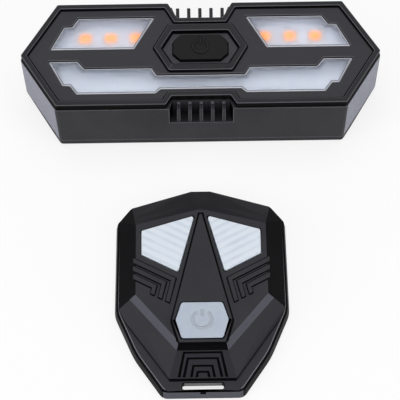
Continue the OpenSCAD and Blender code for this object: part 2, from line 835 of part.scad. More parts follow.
// Lower shell: floor, wall, apron with its strap slot, and the door's opening
module remote_base() color(charcoal) at_remote() {
    outline = both(remote_half);
    radii = concat(remote_r, [for (i = [len(remote_r) - 1 : -1 : 0]) remote_r[i]]);
    slot_r = 0.5;
    post_r = 1.5;
    slot_half = slot_size / 2;
    difference() {
        union() {
            difference() {
                frustum(soften(outline, radii), soften(inset(outline, remote_lean), radii), 0, apron_h);
                prism(inset(both(seam_half), wall_in), floor_t, apron_h + 1);
            }
            two_sides()
                for (p = post_at)
                    translate([p[0], p[1], floor_t - bite])
                        cylinder(r = post_r, h = remote_board_low - floor_t + bite);
        }
        translate([0, slot_y, 0])
            prism(soften([[-slot_half[0], -slot_half[1]], [slot_half[0], -slot_half[1]],
                [slot_half[0], slot_half[1]], [-slot_half[0], slot_half[1]]], slot_r), -1, apron_h + 1);
        translate([-slot_half[0] - 0.6, slot_y - slot_half[1], -1])
            cube([slot_size[0] + 1.2, slot_size[1] + 3.2, 2.1]);
        difference() {
            prism(inset(both(seam_half), 0.5), apron_h - 0.6, apron_h + 1);
            prism(inset(both(seam_half), 1.1), apron_h - 1, apron_h + 2);
        }
        two_sides()
            for (p = remote_screw_at)
                translate([p[0], p[1], -1]) {
                    cylinder(r = remote_screw_r + 0.15, h = floor_t + 2);
                    cylinder(r = remote_head_r + 0.15, h = remote_head_t + 1.1);
                }
        translate([0, cell_y, -1])
            cylinder(r = door_r + door_gap, h = floor_t + 2, $fn = 96);
        for (i = [0 : 2])
            translate([0, cell_y, -1])
                rotate(120 * i + door_turn)
                    lug(0.25, 20);
        translate([0, inset(outline, remote_lean)[0][1] - 0.1, apron_h - 0.9])
            cylinder(r = 0.55, h = 2);
    }
}

// Sector of the battery door that holds one bayonet lug, grown by d
module lug(d, h) {
    spread = 11 + 60 * d / door_r;
    intersection() {
        cylinder(r = door_r + lug_w + d, h = h, $fn = 96);
        linear_extrude(h)
            polygon([[0, 0], 2 * door_r * [cos(spread), -sin(spread)], 2 * door_r * [cos(spread), sin(spread)]]);
    }
}

// Upper shell: plateau with the key openings, nose, ledge, chin and grip ridges
module remote_top() color(charcoal) at_remote() {
    seam_low = [for (p = seam_half) [p[0], p[1], apron_h + speck / 2]];
    seam_high = [for (p = seam_half) [p[0], p[1], seam_z]];
    ledge = [for (p = ledge_half) [p[0], p[1], ledge_h]];
    plate = [for (p = plate_half) [p[0], p[1], plate_h]];
    nose_low = [for (p = nose_half) [p[0], p[1], ceiling_z]];
    nose_top = [[nose_half[0][0], nose_half[0][1], nose_h], [nose_half[1][0], nose_half[1][1], nose_h],
        [nose_half[2][0], nose_half[2][1], plate_h + 0.2]];
    nose_groove = 0.45;
    groove_d = 0.45;
    difference() {
        union() {
            difference() {
                union() {
                    faceted(concat(seam_low, seam_high, ledge));
                    faceted(concat(ledge, plate));
                }
                prism(inset(both(nose_half), -nose_groove), plate_h - groove_d, plate_h + 1);
                cavity();
            }
            two_sides()
                for (i = [0 : len(remote_screw_at) - 1])
                    translate([remote_screw_at[i][0], remote_screw_at[i][1], floor_t + 0.1])
                        cylinder(r = 2, h = remote_boss_top[i] - floor_t - 0.1);
            faceted(concat(nose_low, nose_top));
            two_sides()
                for (k = [0 : ridge_count - 1])
                    prism(ridge(k), plate_h - bite, plate_h + ridge_h);
        }
        two_sides() {
            prism(soften(inset(pad_points, -pad_gap), 0.6), ceiling_z - 1, plate_h + 3);
            for (p = remote_screw_at)
                translate([p[0], p[1], 0])
                    cylinder(r = remote_screw_r + thread_gap, h = remote_boss_top[1] - 0.4);
        }
        prism(soften(inset(power_points, -pad_gap), 0.9), remote_board_top, nose_h + 3);
        chin_cuts();
    }
}

// Hollow under the plateau and the ledge
module cavity() {
    inner = inset(both(seam_half), wall_in);
    low_end = [5.2, -18.2];
    side = remote_side - 6.7;
    upper = [[0, remote_crown - 10.8], [side, remote_crown - 14.9], [side, -4], low_end];
    lower = [[2.5, remote_crown - 2.8], [remote_side - 5.5, remote_crown - 7.4],
        [remote_side - 3, remote_crown - 10.9], [remote_side - 2.9, -4.6], low_end];
    jaw = [[remote_side - 6.8, -5.4], [6, -17.6]];
    faceted(concat([for (p = upper) [p[0], p[1], ceiling_z]], [for (p = lower) [p[0], p[1], apron_h - bite]]));
    faceted(concat([for (p = jaw) [p[0], p[1], ledge_h - 1.7]],
        [for (i = [0 : 2]) [inner[i][0], inner[i][1], apron_h - bite]]));
}

// Grip ridge k: one leg along the key's lower edge, one along the nose
function ridge(k) = let (
        along = unit(pad_points[1] - pad_points[0]),
        down = unit(nose_half[1] - nose_half[2]),
        out = [along[1], -along[0]],
        away = [-down[1], down[0]],
        a = pad_points[0] + out * (ridge_first + k * ridge_pitch),
        b = nose_half[2] + away * (ridge_leg_first + k * ridge_leg_pitch),
        stop = pad_points[0] + out * (ridge_end),
        edge = [plate_half[1][0] + 0.6, 0])
    [meet(a, along, edge, [0, 1]), meet(a, along, b, down), meet(stop, along, b, down),
        meet(stop, along, b + away * ridge_leg_w, down),
        meet(a + out * ridge_w, along, b + away * ridge_leg_w, down), meet(a + out * ridge_w, along, edge, [0, 1])];

// Nested grooves on the sloping chin
module chin_cuts() {
    run = chin_top[1] - seam_half[0][1];
    slope = atan((ledge_h - seam_z) / run);
    translate([0, chin_top[1], ledge_h])
        rotate([slope, 0, 0])
            translate([0, 0, -chin_groove_d])
                linear_extrude(2)
                    for (g = chin_grooves)
                        difference() {
                            polygon([[-g[0], -g[2]], [-g[1], -chin_foot], [g[1], -chin_foot], [g[0], -g[2]]]);
                            polygon([[chin_groove_w - g[0], -g[2] - chin_groove_w],
                                [chin_groove_w - g[1], -chin_foot - 1], [g[1] - chin_groove_w, -chin_foot - 1],
                                [g[0] - chin_groove_w, -g[2] - chin_groove_w]]);
                        }
}

// Seal in the base's groove
module remote_seal() color(black_rubber) at_remote() {
    difference() {
        prism(inset(both(seam_half), 0.55), apron_h - 0.6, apron_h);
        prism(inset(both(seam_half), 1.05), apron_h - 1, apron_h + 1);
    }
}

// Translucent key with its flange and the stem over the switch
module pad(points, middle, top, r) {
    flange_top = ceiling_z - 0.05;
    prism(soften(points, r), flange_top - bite, top);
    prism(inset(points, -pad_flange_w), flange_top - pad_flange_t, flange_top);
    translate([middle[0], middle[1], pad_plunger_top])
        cylinder(r = 1.6, h = flange_top - pad_flange_t - pad_plunger_top + bite);
}

module right_key() color(pad_white) at_remote()
    pad(pad_points, pad_middle, pad_top, 0.5);

module left_key() color(pad_white) at_remote()
    mirror([1, 0, 0])
        pad(pad_points, pad_middle, pad_top, 0.5);

// Power key in the nose, its flange kept off the end wall
module remote_power_key() color(pad_white) at_remote() {
    flange_top = ceiling_z - 0.05;
    end_y = power_points[0][1] + 2.5;
    prism(soften(power_points, 0.8), flange_top - bite, power_top);
    intersection() {
        prism(inset(power_points, -pad_flange_w), flange_top - pad_flange_t, flange_top);
        translate([-20, end_y, 0])
            cube([40, 40, 20]);
    }
    translate([power_middle[0], power_middle[1], pad_plunger_top])
        cylinder(r = 1.6, h = flange_top - pad_flange_t - pad_plunger_top + bite);
}

// Circuit board on the base's posts
module remote_board() color(board_green) at_remote()
    prism(both([[4.6, 13.2 - remote_chin], [remote_side - 8.5, -4.2],
        [remote_side - 8.5, remote_crown - 16.8], [2.4, remote_crown - 13.2]]),
        remote_board_low, remote_board_top);

// Places of the three switches
module at_switches() {
    for (p = [pad_middle, [-pad_middle[0], pad_middle[1]], power_middle])
        translate([p[0], p[1], remote_board_top])
            children();
}

module remote_switches() color(steel) at_remote()
    at_switches()
        difference() {
            translate([-remote_switch[0] / 2, -remote_switch[1] / 2, 0])
                cube(remote_switch);
            translate([0, 0, 0.15])
                cylinder(r = pad_plunger_r + running_gap, h = remote_switch[2]);
        }

// Plunger that a key presses into its switch
module plunger(at) {
    low = remote_board_top + 0.25 + pad_travel;
    translate([at[0], at[1], low])
        cylinder(r = pad_plunger_r, h = pad_plunger_top - low);
}

module right_plunger() color(black_rubber) at_remote()
    plunger(pad_middle);

module left_plunger() color(black_rubber) at_remote()
    plunger([-pad_middle[0], pad_middle[1]]);

module power_plunger() color(black_rubber) at_remote()
    plunger(power_middle);

// Chip lights beside the switches
module remote_leds() color(white_part) at_remote()
    for (p = [pad_middle - [4, 0], [4 - pad_middle[0], pad_middle[1]], power_middle + [0, 4]])
        translate([p[0] - 0.8, p[1] - 0.4, remote_board_top])
            cube([1.6, 0.8, 0.6]);

// Sender chip between the keys
module radio_sender() color("#26282b") at_remote()
    translate([-2.5, -3.5, remote_board_top])
        cube([5, 5, 0.9]);

module coin_cell() color(steel) at_remote()
    translate([0, cell_y, cell_z]) {
        cylinder(r = cell_r, h = cell_h - 0.5, $fn = 96);
        cylinder(r = cell_r - 1.4, h = cell_h, $fn = 96);
    }

// Ring round the cell, under the board
module cell_holder() color("#22262a") at_remote()
    translate([0, cell_y, floor_t + lug_t + 0.4])
        difference() {
            h = remote_board_low - floor_t - lug_t - 0.4;
            cylinder(r = cell_r + fit_gap + holder_wall, h = h, $fn = 96);
            translate([0, 0, -1])
                cylinder(r = cell_r + fit_gap, h = h + 2, $fn = 96);
        }

// Spring contact between the cell and the board
module cell_contact() color(steel) at_remote()
    translate([-contact_size[0] / 2, cell_y - contact_size[1] / 2, remote_board_low - contact_t])
        cube([contact_size[0], contact_size[1], contact_t]);

// Battery door with its bayonet lugs and the slot for a coin
module cell_door() color(charcoal_dark) at_remote()
    translate([0, cell_y, 0]) {
        bottom = 0.1;
        root = [cell_r + 0.3, door_r - 0.3];
        under = floor_t + 0.06;
        difference() {
            union() {
                translate([0, 0, bottom])
                    cylinder(r = door_r, h = floor_t - bottom, $fn = 96);
                for (i = [0 : 2])
                    rotate(120 * i)
                        intersection() {
                            lug(0, 10);
                            rotate_extrude($fn = 96)
                                polygon([[root[0], floor_t - bite], [root[1], floor_t - bite], [root[1], under],
                                    [2 * door_r, under], [2 * door_r, under + lug_t], [root[0], under + lug_t]]);
                        }
            }
            ring_groove();
            translate([-coin_slot[0] / 2, -coin_slot[1] / 2, -1])
                cube([coin_slot[0], coin_slot[1], coin_slot[2] + 1]);
        }
    }

// Groove for the O-ring in the door's edge
module ring_groove() {
    translate([0, 0, ring_z - ring_wire - running_gap])
        difference() {
            cylinder(r = door_r + 1, h = 2 * (ring_wire + running_gap), $fn = 96);
            translate([0, 0, -1])
                cylinder(r = ring_r - ring_wire - running_gap, h = 4, $fn = 96);
        }
}

module cell_door_ring() color(black_rubber) at_remote()
    translate([0, cell_y, ring_z])
        rotate_extrude($fn = 96)
            translate([ring_r, 0])
                circle(r = ring_wire, $fn = 24);

module remote_screws() color(steel) at_remote()
    two_sides()
        for (i = [0 : 1])
            translate([remote_screw_at[i][0], remote_screw_at[i][1], 0.1])
                screw(remote_screw_r, remote_boss_top[1] - remote_head_t - 0.6, remote_head_r, remote_head_t);

light_shell();
light_back_cover();
light_bezel();
light_gasket();
left_signal_lens();
right_signal_lens();
tail_lens();
light_reflector();
light_board();
signal_leds();
tail_leds();
light_power_key();
light_switch();
light_plunger();
light_battery();
charge_socket();
charge_cover();
radio_receiver();
cover_screws();
board_screws();
remote_base();
remote_top();
remote_seal();
left_key();
right_key();
remote_power_key();
remote_board();
remote_switches();
left_plunger();
right_plunger();
power_plunger();
remote_leds();
radio_sender();
coin_cell();
cell_holder();
cell_contact();
cell_door();
cell_door_ring();
remote_screws();
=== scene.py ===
# %% [markdown]
# Bicycle turn signal light and its handlebar remote.
# The solids come from the CAD frame, in metres, with the light's back and the remote's back on
# the table. This script gives them the softened edges, grains, lenses and lamps of the real set.
# Each CAD piece that shows is copied, its edges are rounded as a mould rounds them, and the copy
# stands for the CAD piece.

import math
from bisect import bisect_left

import bmesh
import bpy
from mathutils import Matrix, Vector


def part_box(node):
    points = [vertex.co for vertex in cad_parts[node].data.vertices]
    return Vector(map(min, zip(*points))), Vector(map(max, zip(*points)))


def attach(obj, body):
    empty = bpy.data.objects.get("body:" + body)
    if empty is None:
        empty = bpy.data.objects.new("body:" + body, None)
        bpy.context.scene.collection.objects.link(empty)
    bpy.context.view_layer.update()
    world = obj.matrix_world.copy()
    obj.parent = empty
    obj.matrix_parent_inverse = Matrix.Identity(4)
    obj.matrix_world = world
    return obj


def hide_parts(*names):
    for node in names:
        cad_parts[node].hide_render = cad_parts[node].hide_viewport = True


MM = 0.001
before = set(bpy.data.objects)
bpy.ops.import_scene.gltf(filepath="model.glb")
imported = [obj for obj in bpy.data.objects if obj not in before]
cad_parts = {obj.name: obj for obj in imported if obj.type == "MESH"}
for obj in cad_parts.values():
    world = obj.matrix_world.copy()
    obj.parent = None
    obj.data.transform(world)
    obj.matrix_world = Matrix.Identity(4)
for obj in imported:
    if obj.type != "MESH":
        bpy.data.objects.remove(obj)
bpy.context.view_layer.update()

# %% [markdown]
# The photograph looks down on both units from in front, through a long lens: the light's far and
# near edges are almost the same length. The camera was worked out from the six corners of the
# light's rim and the slant of its long sides, so the picture leans by less than a degree.


# %% Camera
def linked(name, data):
    """New object in the scene that shows data."""
    thing = bpy.data.objects.new(name, data)
    bpy.context.scene.collection.objects.link(thing)
    return thing


stand = Vector((-0.72, -353.05, 571.73)) * MM
tilt = math.radians(60.903)
roll = math.radians(0.833)
forward = Vector((0, math.cos(tilt), -math.sin(tilt)))
level_up = Vector((0, math.sin(tilt), math.cos(tilt)))
side = Vector((1, 0, 0))
right = side * math.cos(roll) - level_up * math.sin(roll)
up = side * math.sin(roll) + level_up * math.cos(roll)

lens = bpy.data.cameras.new("photo_lens")
lens.lens = 214.25
lens.sensor_width = 36
lens.clip_start = 0.01
camera = linked("photo_camera", lens)
turn = Matrix((right, up, -forward)).transposed().to_4x4()
camera.matrix_world = Matrix.Translation(stand) @ turn
bpy.context.scene.camera = camera
print("camera stands", round(stand.length / MM), "mm from the light's back")

# %% [markdown]
# Every finish below is a small tree of shader nodes. One helper adds a node and fills its inputs,
# with a number, a colour or another node, and one turns a hex colour into the linear light that
# Blender works in. A pattern's scale is the inverse of its size, so a grain of 0.4 mm has the
# scale 1 / 0.0004 in a scene measured in metres.


# %% Helpers for finishes
def linear(code):
    """Linear colour of an sRGB hex code."""
    parts = [int(code[i : i + 2], 16) / 255 for i in (1, 3, 5)]
    return [p / 12.92 if p <= 0.04045 else ((p + 0.055) / 1.055) ** 2.4 for p in parts] + [1]


def add(tree, kind, inputs=None, **settings):
    """New node with its settings, and with inputs set or linked by name or number."""
    node = tree.nodes.new(kind)
    for name, value in settings.items():
        setattr(node, name, value)
    for name, value in (inputs or {}).items():
        if isinstance(value, bpy.types.Node):
            value = value.outputs[0]
        if isinstance(value, bpy.types.NodeSocket):
            tree.links.new(value, node.inputs[name])
        else:
            node.inputs[name].default_value = value
    return node


def maths(tree, operation, *values):
    """Maths node that works on up to three values."""
    return add(tree, "ShaderNodeMath", dict(enumerate(values)), operation=operation)


def new_finish(name, **shader):
    """Material with a Principled shader, its tree and its place on the object."""
    material = bpy.data.materials.new(name)
    material.use_nodes = True
    tree = material.node_tree
    surface = tree.nodes["Principled BSDF"]
    for socket, value in shader.items():
        surface.inputs[socket.replace("_", " ")].default_value = value
    place = add(tree, "ShaderNodeTexCoord").outputs["Object"]
    return material, tree, surface, place


def noise(tree, place, width, detail=2.0):
    """Noise whose spots are about width mm wide."""
    return add(tree, "ShaderNodeTexNoise", {
        "Vector": place, "Scale": 1 / (width * MM), "Detail": detail})


def blended(tree, amount, dark, pale):
    """Colour between two hex codes."""
    codes = {0: amount, 6: linear(dark), 7: linear(pale)}
    return add(tree, "ShaderNodeMix", codes, data_type="RGBA").outputs[2]


def uneven(tree, pattern, least, most):
    """Value from least to most that follows a noise."""
    return add(tree, "ShaderNodeMapRange", {0: pattern, 1: 0.3, 2: 0.7, 3: least, 4: most})


def wire(tree, surface, **outputs):
    """Links outputs to the shader's inputs of the same names."""
    for socket, value in outputs.items():
        source = value.outputs[0] if isinstance(value, bpy.types.Node) else value
        tree.links.new(source, surface.inputs[socket.replace("_", " ")])


print("finish helpers ready")

# %% [markdown]
# Most pieces are moulded, and a moulding's look has three parts: a colour that is a little clouded
# and specked, a gloss that varies with the clouds, and a grain that stands in relief.


# %% Moulded finish
def moulded(name, dark, pale, rough, grain, depth, shine=0.5, **shader):
    """Moulded finish: clouded colour, uneven gloss, and a grain of a width and depth in mm."""
    material, tree, surface, place = new_finish(name, Specular_IOR_Level=shine, **shader)
    cloud, speck = noise(tree, place, 9, 3.0), noise(tree, place, grain)
    spots = add(tree, "ShaderNodeMapRange", {0: speck, 1: 0.35, 2: 0.65, 3: 0.0, 4: 0.6})
    blend = maths(tree, "MULTIPLY_ADD", cloud, 0.4, spots)
    bump = add(tree, "ShaderNodeBump", {"Height": speck, "Strength": 1.0, "Distance": depth * MM})
    wire(tree, surface, Base_Color=blended(tree, blend, dark, pale),
         Roughness=uneven(tree, cloud, rough - 0.05, rough + 0.05), Normal=bump)
    return material


print("moulded finish ready")

# %% [markdown]
# The housings are glass-filled nylon or ABS with a spark-eroded grain, which spreads light and
# makes black plastic look charcoal grey. The real grain is about 0.1 mm; it is drawn three times
# as coarse here, so that it shows at the photograph's size. Steep walls are painted black with
# almost no shine, as painted shade, which draws the dark line round every step. The light's
# slanted ends have a dry, coarse grain with a sheen that brightens where it is seen at a glancing
# angle, and their colour is painted paler than the shell's, as painted light.

# %% Plastics and rubbers
shell_sand = moulded("charcoal_nylon_sand_grain", "#1c1c21", "#27272d", 0.55, 0.35, 0.03,
                     shine=0.25)
# Painted light: the slanted ends are painted paler than the rest of the shell, besides their sheen.
end_sand_and_light = moulded("charcoal_nylon_dry_grain_painted_light", "#3c3c46", "#606070", 0.6, 0.45, 0.09, shine=0.3,
                   Sheen_Weight=1.0, Sheen_Roughness=0.35, Sheen_Tint=linear("#eef1ff"))
back_sand = moulded("charcoal_nylon_back_grain", "#1a1a1d", "#232327", 0.6, 0.45, 0.04, shine=0.25)
face_satin = moulded("charcoal_abs_satin_face", "#1f1f24", "#29292f", 0.5, 0.3, 0.012, shine=0.27)
rim_satin = moulded("charcoal_abs_satin_rim", "#131318", "#1b1b20", 0.5, 0.3, 0.012, shine=0.21)
# Painted light: a paler copy of the face's finish for the floor of the key's pocket.
pocket_light = moulded("charcoal_abs_key_pocket_painted_light", "#2e2e34", "#3a3a41", 0.5, 0.3, 0.012, shine=0.27)
# Painted shade: black with almost no shine, for steep walls, the feet of steps and groove floors.
shade_black = moulded("black_painted_shade_walls", "#050506", "#09090a", 0.4, 0.5, 0.004,
                      shine=0.04)
# Painted light: a paler copy for faces in the light's recesses that look up or to the front.
vent_light = moulded("charcoal_nylon_vent_painted_light", "#242428", "#2f2f34", 0.5, 0.4, 0.01, shine=0.16)
# Painted highlight: a pale line set in from an outer edge.
highlight_line = moulded("pale_painted_highlight_line", "#56565d", "#64646c", 0.45, 0.4, 0.004)
# Painted light: grey, and glossier, for the far wall of the remote's strap slot.
slot_light = moulded("grey_abs_slot_wall_painted_light", "#6c6c72", "#7c7c83", 0.3, 0.4, 0.004)
# Painted highlight: a paler, glossier colour for the rounded edges of the housings.
edge_highlight = moulded("painted_highlight_plastic_edge", "#3a3a40", "#48484f", 0.32, 0.4, 0.006, shine=0.45)
seal_rubber = moulded("black_silicone_seal", "#040405", "#070708", 0.4, 0.6, 0.004, shine=0.02)
key_rubber = moulded("black_rubber_key", "#0b0b0d", "#121214", 0.45, 0.3, 0.008, shine=0.12)
mark_rubber = moulded("black_rubber_power_mark", "#131315", "#19191c", 0.4, 0.3, 0.006, shine=0.14)
flap_rubber = moulded("black_rubber_flap", "#101012", "#18181b", 0.6, 0.3, 0.01, shine=0.2)
remote_satin = moulded("charcoal_abs_remote", "#1b1b20", "#25252b", 0.52, 0.3, 0.014, shine=0.22)
# Painted shade: a darker copy for the remote's large facets that look away.
remote_far_shade = moulded("charcoal_abs_far_facets_painted_shade", "#131317", "#1b1b20", 0.55, 0.3, 0.014, shine=0.16)
# Painted shade: nearly black for the remote's steep side facets, the nose's end, the chin and the
# base's rounded edges.
remote_shade = moulded("black_abs_facets_painted_shade", "#08080a", "#0e0e10", 0.6, 0.3, 0.014, shine=0.02)
# Painted light: a paler copy for the strips along the plate's lower edges and the near end of the
# base.
remote_light = moulded("grey_abs_strips_painted_light", "#40404a", "#4c4c57", 0.5, 0.3, 0.012, shine=0.3)
print(len(bpy.data.materials), "finishes so far")

# %% [markdown]
# A lens is clear acrylic whose inside is frosted, so the LED chips behind it show as soft orange
# spots; the edges of the window are painted pale, as a painted highlight. The tail window is the
# same plastic with a heavier frost. Light really passes through both: the white tray behind them
# makes them pale.


# %% Lenses
def acrylic(name, tint, rough, grain):
    """Frosted acrylic, darker where a vertex has shade: the frost is uneven in gloss and height."""
    material, tree, surface, place = new_finish(name, IOR=1.49, Transmission_Weight=1.0)
    shade = add(tree, "ShaderNodeAttribute", attribute_name="shade")
    frost = noise(tree, place, grain)
    bump = add(tree, "ShaderNodeBump", {"Height": frost, "Strength": 0.4, "Distance": 0.01 * MM})
    wire(tree, surface, Base_Color=blended(tree, shade.outputs["Fac"], tint, "#7c808c"),
         Roughness=uneven(tree, frost, rough * 0.85, rough * 1.15), Normal=bump)
    return material


clear_acrylic = acrylic("frosted_acrylic_signal_window", "#f8faff", 0.74, 0.8)
opal_acrylic = acrylic("opal_acrylic_tail_window", "#f7f9fd", 0.8, 0.8)
# Painted highlight on the windows' bevels, and painted shade in the thin line inside them.
acrylic_highlight = moulded("pale_acrylic_window_edge_painted_highlight", "#c0c2cb", "#d0d2da", 0.2, 0.5, 0.004, IOR=1.49)
acrylic_shade_line = moulded("grey_painted_shade_line_inside_bevel", "#6c6e78", "#7c7e88", 0.35, 0.5, 0.004, IOR=1.49)
white_tray = moulded("white_abs_light_tray", "#e2e6ee", "#eef1f7", 0.45, 0.5, 0.005)
print("window finishes:", clear_acrylic.name, opal_acrylic.name)

# %% [markdown]
# The remote's keys are milky silicone lit from inside. Ribs under the left and right keys show
# through as pale bands along each key's lower edge; the power key is plain and carries a grey
# power mark.


# %% Milky keys
def silicone(name, dark, pale, angle=None, pitch=2.05):
    """Milky silicone, with bands pitch mm apart at an angle if one is given."""
    material, tree, surface, place = new_finish(
        name, Subsurface_Weight=0.35, Subsurface_Scale=1.2 * MM)
    surface.inputs["Subsurface Radius"].default_value = (1, 1.05, 1.15)
    cloud = height = noise(tree, place, 4)
    if angle is not None:
        turn_back = (0, 0, math.radians(angle))
        turned = add(tree, "ShaderNodeMapping", {"Vector": place, "Rotation": turn_back})
        waves = {"Vector": turned, "Scale": math.pi / 10 / (pitch * MM)}
        bands = add(tree, "ShaderNodeTexWave", waves, bands_direction="Y", wave_profile="SIN")
        height = maths(tree, "MULTIPLY_ADD", bands.outputs[1], 0.8, cloud)
    bump = add(tree, "ShaderNodeBump", {"Height": height, "Strength": 0.5, "Distance": 0.06 * MM})
    wire(tree, surface, Base_Color=blended(tree, height, dark, pale),
         Roughness=uneven(tree, cloud, 0.36, 0.46), Normal=bump)
    return material


right_silicone = silicone("milky_silicone_right_key", "#bcc6d4", "#d6dee8", -28.7)
left_silicone = silicone("milky_silicone_left_key", "#bcc6d4", "#d6dee8", 28.7)
power_silicone = silicone("milky_silicone_power_key", "#a2abbb", "#b4becc")
power_grey = moulded("grey_print_power_mark", "#9fa7b4", "#aab2be", 0.5, 0.4, 0.004)
print("key finishes ready")

# %% [markdown]
# Inside are two circuit boards, tin-plated switches, a foil-wrapped battery, a steel coin cell and
# screws. The green of a board is solder mask over copper tracks, which show as a paler net. Metal
# shows fine brushing, so its gloss is stretched along one direction.


# %% Boards and metals
def solder_mask(name, dark, pale):
    """Green lacquer over a net of copper tracks."""
    material, tree, surface, place = new_finish(name, Roughness=0.35)
    net = add(tree, "ShaderNodeTexBrick", {
        "Vector": place, "Scale": 1 / (5 * MM), "Color1": linear(dark), "Color2": linear(dark),
        "Mortar": linear(pale), "Mortar Size": 0.04})
    bump = add(tree, "ShaderNodeBump", {
        "Height": net.outputs[1], "Strength": 0.6, "Distance": 0.04 * MM})
    wire(tree, surface, Base_Color=net, Normal=bump)
    return material


def brushed(name, dark, pale, rough):
    """Rolled or plated metal with brushing along the X axis."""
    material, tree, surface, place = new_finish(name, Metallic=1.0)
    along, across = 1 / (6 * MM), 1 / (0.3 * MM)
    drawn = add(tree, "ShaderNodeMapping", {"Vector": place, "Scale": (along, across, across)})
    grain = add(tree, "ShaderNodeTexNoise", {"Vector": drawn, "Scale": 1.0, "Detail": 3.0})
    wire(tree, surface, Base_Color=blended(tree, grain, dark, pale),
         Roughness=uneven(tree, grain, rough - 0.06, rough + 0.06))
    return material


board_green = solder_mask("green_solder_mask", "#174a30", "#2b6a48")
screw_steel = brushed("zinc_plated_screw_steel", "#a9abae", "#c3c5c8", 0.32)
switch_tin = brushed("tin_plated_switch_metal", "#b9bcbf", "#d0d2d4", 0.35)
cell_steel = brushed("nickel_plated_cell_steel", "#b7b5b0", "#cfcdc8", 0.25)
cell_foil = moulded("grey_foil_cell_wrap", "#8b979f", "#9aa6ae", 0.38, 1.5, 0.02, Metallic=0.4)
chip_black = moulded("black_epoxy_chip", "#1c1e20", "#26282b", 0.55, 0.2, 0.004)
plunger_black = moulded("black_acetal_plunger", "#141416", "#1c1c1f", 0.4, 0.3, 0.004)
amber_resin = moulded("amber_phosphor_resin", "#f97808", "#ff8c1c", 0.4, 0.3, 0.004,
                      Emission_Strength=1.3, Emission_Color=linear("#ff8c10"))
white_resin = moulded("white_diffuser_resin", "#eceff2", "#f6f8fa", 0.4, 0.3, 0.004)
chip_amber = moulded("amber_lit_led_case", "#ffc888", "#ffd29a", 0.45, 0.3, 0.004)
chip_white = moulded("white_ceramic_led_case", "#e4e8ef", "#f0f3f8", 0.45, 0.3, 0.004)
print(len(bpy.data.materials), "finishes in all")

# %% [markdown]
# A mould leaves no knife edges: every edge of a moulded piece has a radius of a few tenths of a
# millimetre, and these small rounds draw the thin bright lines along the rim, the fins and the
# windows. Each CAD copy is made of loose triangles, so it is joined and its flat triangles are
# merged first. Then the outer edges get a weight, and a bevel works on those alone. Every face
# keeps its own plane, so a flat stays flat up to its rounded edge. On the housings these rounds
# are glossier than the faces and painted paler, a painted highlight.

# %% Copies with rounded edges
WELD, SLIVER = 0.002 * MM, 0.001 * MM  # points nearer than this join, and shorter edges go
FLAT = math.radians(0.4)  # triangles that differ by less are one flat


def soft_copy(node, width, sharp=30, facet=None, segments=3, share=None):
    """Joined copy of a CAD node, its outer edges over sharp degrees rounded by width mm.

    With facet, facets over facet mm2 that look to the front and up are merged if they differ by
    less than 14 degrees, and outer edges of 3 degrees or more between such large faces are rounded.
    An edge's rounding is the share of the width that share gives for it, and all of it without.
    """
    shape = bmesh.new()
    shape.from_mesh(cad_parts[node].data)
    bmesh.ops.remove_doubles(shape, verts=shape.verts, dist=WELD)
    bmesh.ops.dissolve_degenerate(shape, dist=SLIVER, edges=shape.edges)
    bmesh.ops.dissolve_limit(shape, angle_limit=FLAT, verts=shape.verts, edges=shape.edges)
    large = (facet or 0) * MM * MM
    if facet:
        jaws = [edge for edge in shape.edges if len(edge.link_faces) == 2 and all(
            face.normal.z > 0.55 and face.normal.y < -0.3 and face.calc_area() > large
            for face in edge.link_faces)]
        bmesh.ops.dissolve_limit(shape, angle_limit=math.radians(14), verts=[], edges=jaws)
    weight = shape.edges.layers.float.new("bevel_weight_edge")
    for edge in shape.edges:
        if len(edge.link_faces) == 2:
            angle = math.degrees(edge.calc_face_angle_signed(0))
            wide = facet and min(face.calc_area() for face in edge.link_faces) > large
            outer = angle > sharp or (wide and angle > 3)
            edge[weight] = float(share(edge) if share else 1) if outer else 0.0
    for face in shape.faces:
        face.smooth = False
    mesh = bpy.data.meshes.new(node + "_soft")
    shape.to_mesh(mesh)
    shape.free()
    piece = linked(node + "_soft", mesh)
    bevel = piece.modifiers.new("mould_radius", "BEVEL")
    bevel.limit_method = "WEIGHT"
    bevel.offset_type = "OFFSET"
    bevel.width = width * MM
    bevel.segments = segments
    bevel.use_clamp_overlap = False
    bevel.loop_slide = False
    return piece


def stand_for(piece, body, slot, finishes, *nodes, edge=None):
    """Gives a piece its finishes, its body and the CAD nodes it stands for. The slot is not used.

    With edge, the rounded edges take that finish.
    """
    for finish in finishes + [edge] * (edge is not None):
        piece.data.materials.append(finish)
    if edge:
        piece.modifiers["mould_radius"].material = len(finishes)
    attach(piece, body)
    if nodes:
        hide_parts(*nodes)


def dress(piece, face, finish):
    """Gives a face one of its piece's finishes."""
    face.material_index = piece.data.materials.find(finish.name)


def count(piece, finish):
    """Number of a piece's faces that have a finish."""
    index = piece.data.materials.find(finish.name)
    return sum(face.material_index == index for face in piece.data.polygons)


print("copies ready")

# %% [markdown]
# At the foot of a step a black strip is laid as painted shade. It is a strip of its own on the
# flat below the step: a point stands at each end of an edge and another one a strip's width out
# on the flat, each with its twin a little lower. The same strip, set in from an outer edge and
# paler, draws a pale line as a painted highlight.

# %% Painted lines along steps
LINE_LIFT = 0.02 * MM  # a bead rises and sinks this far from its flat


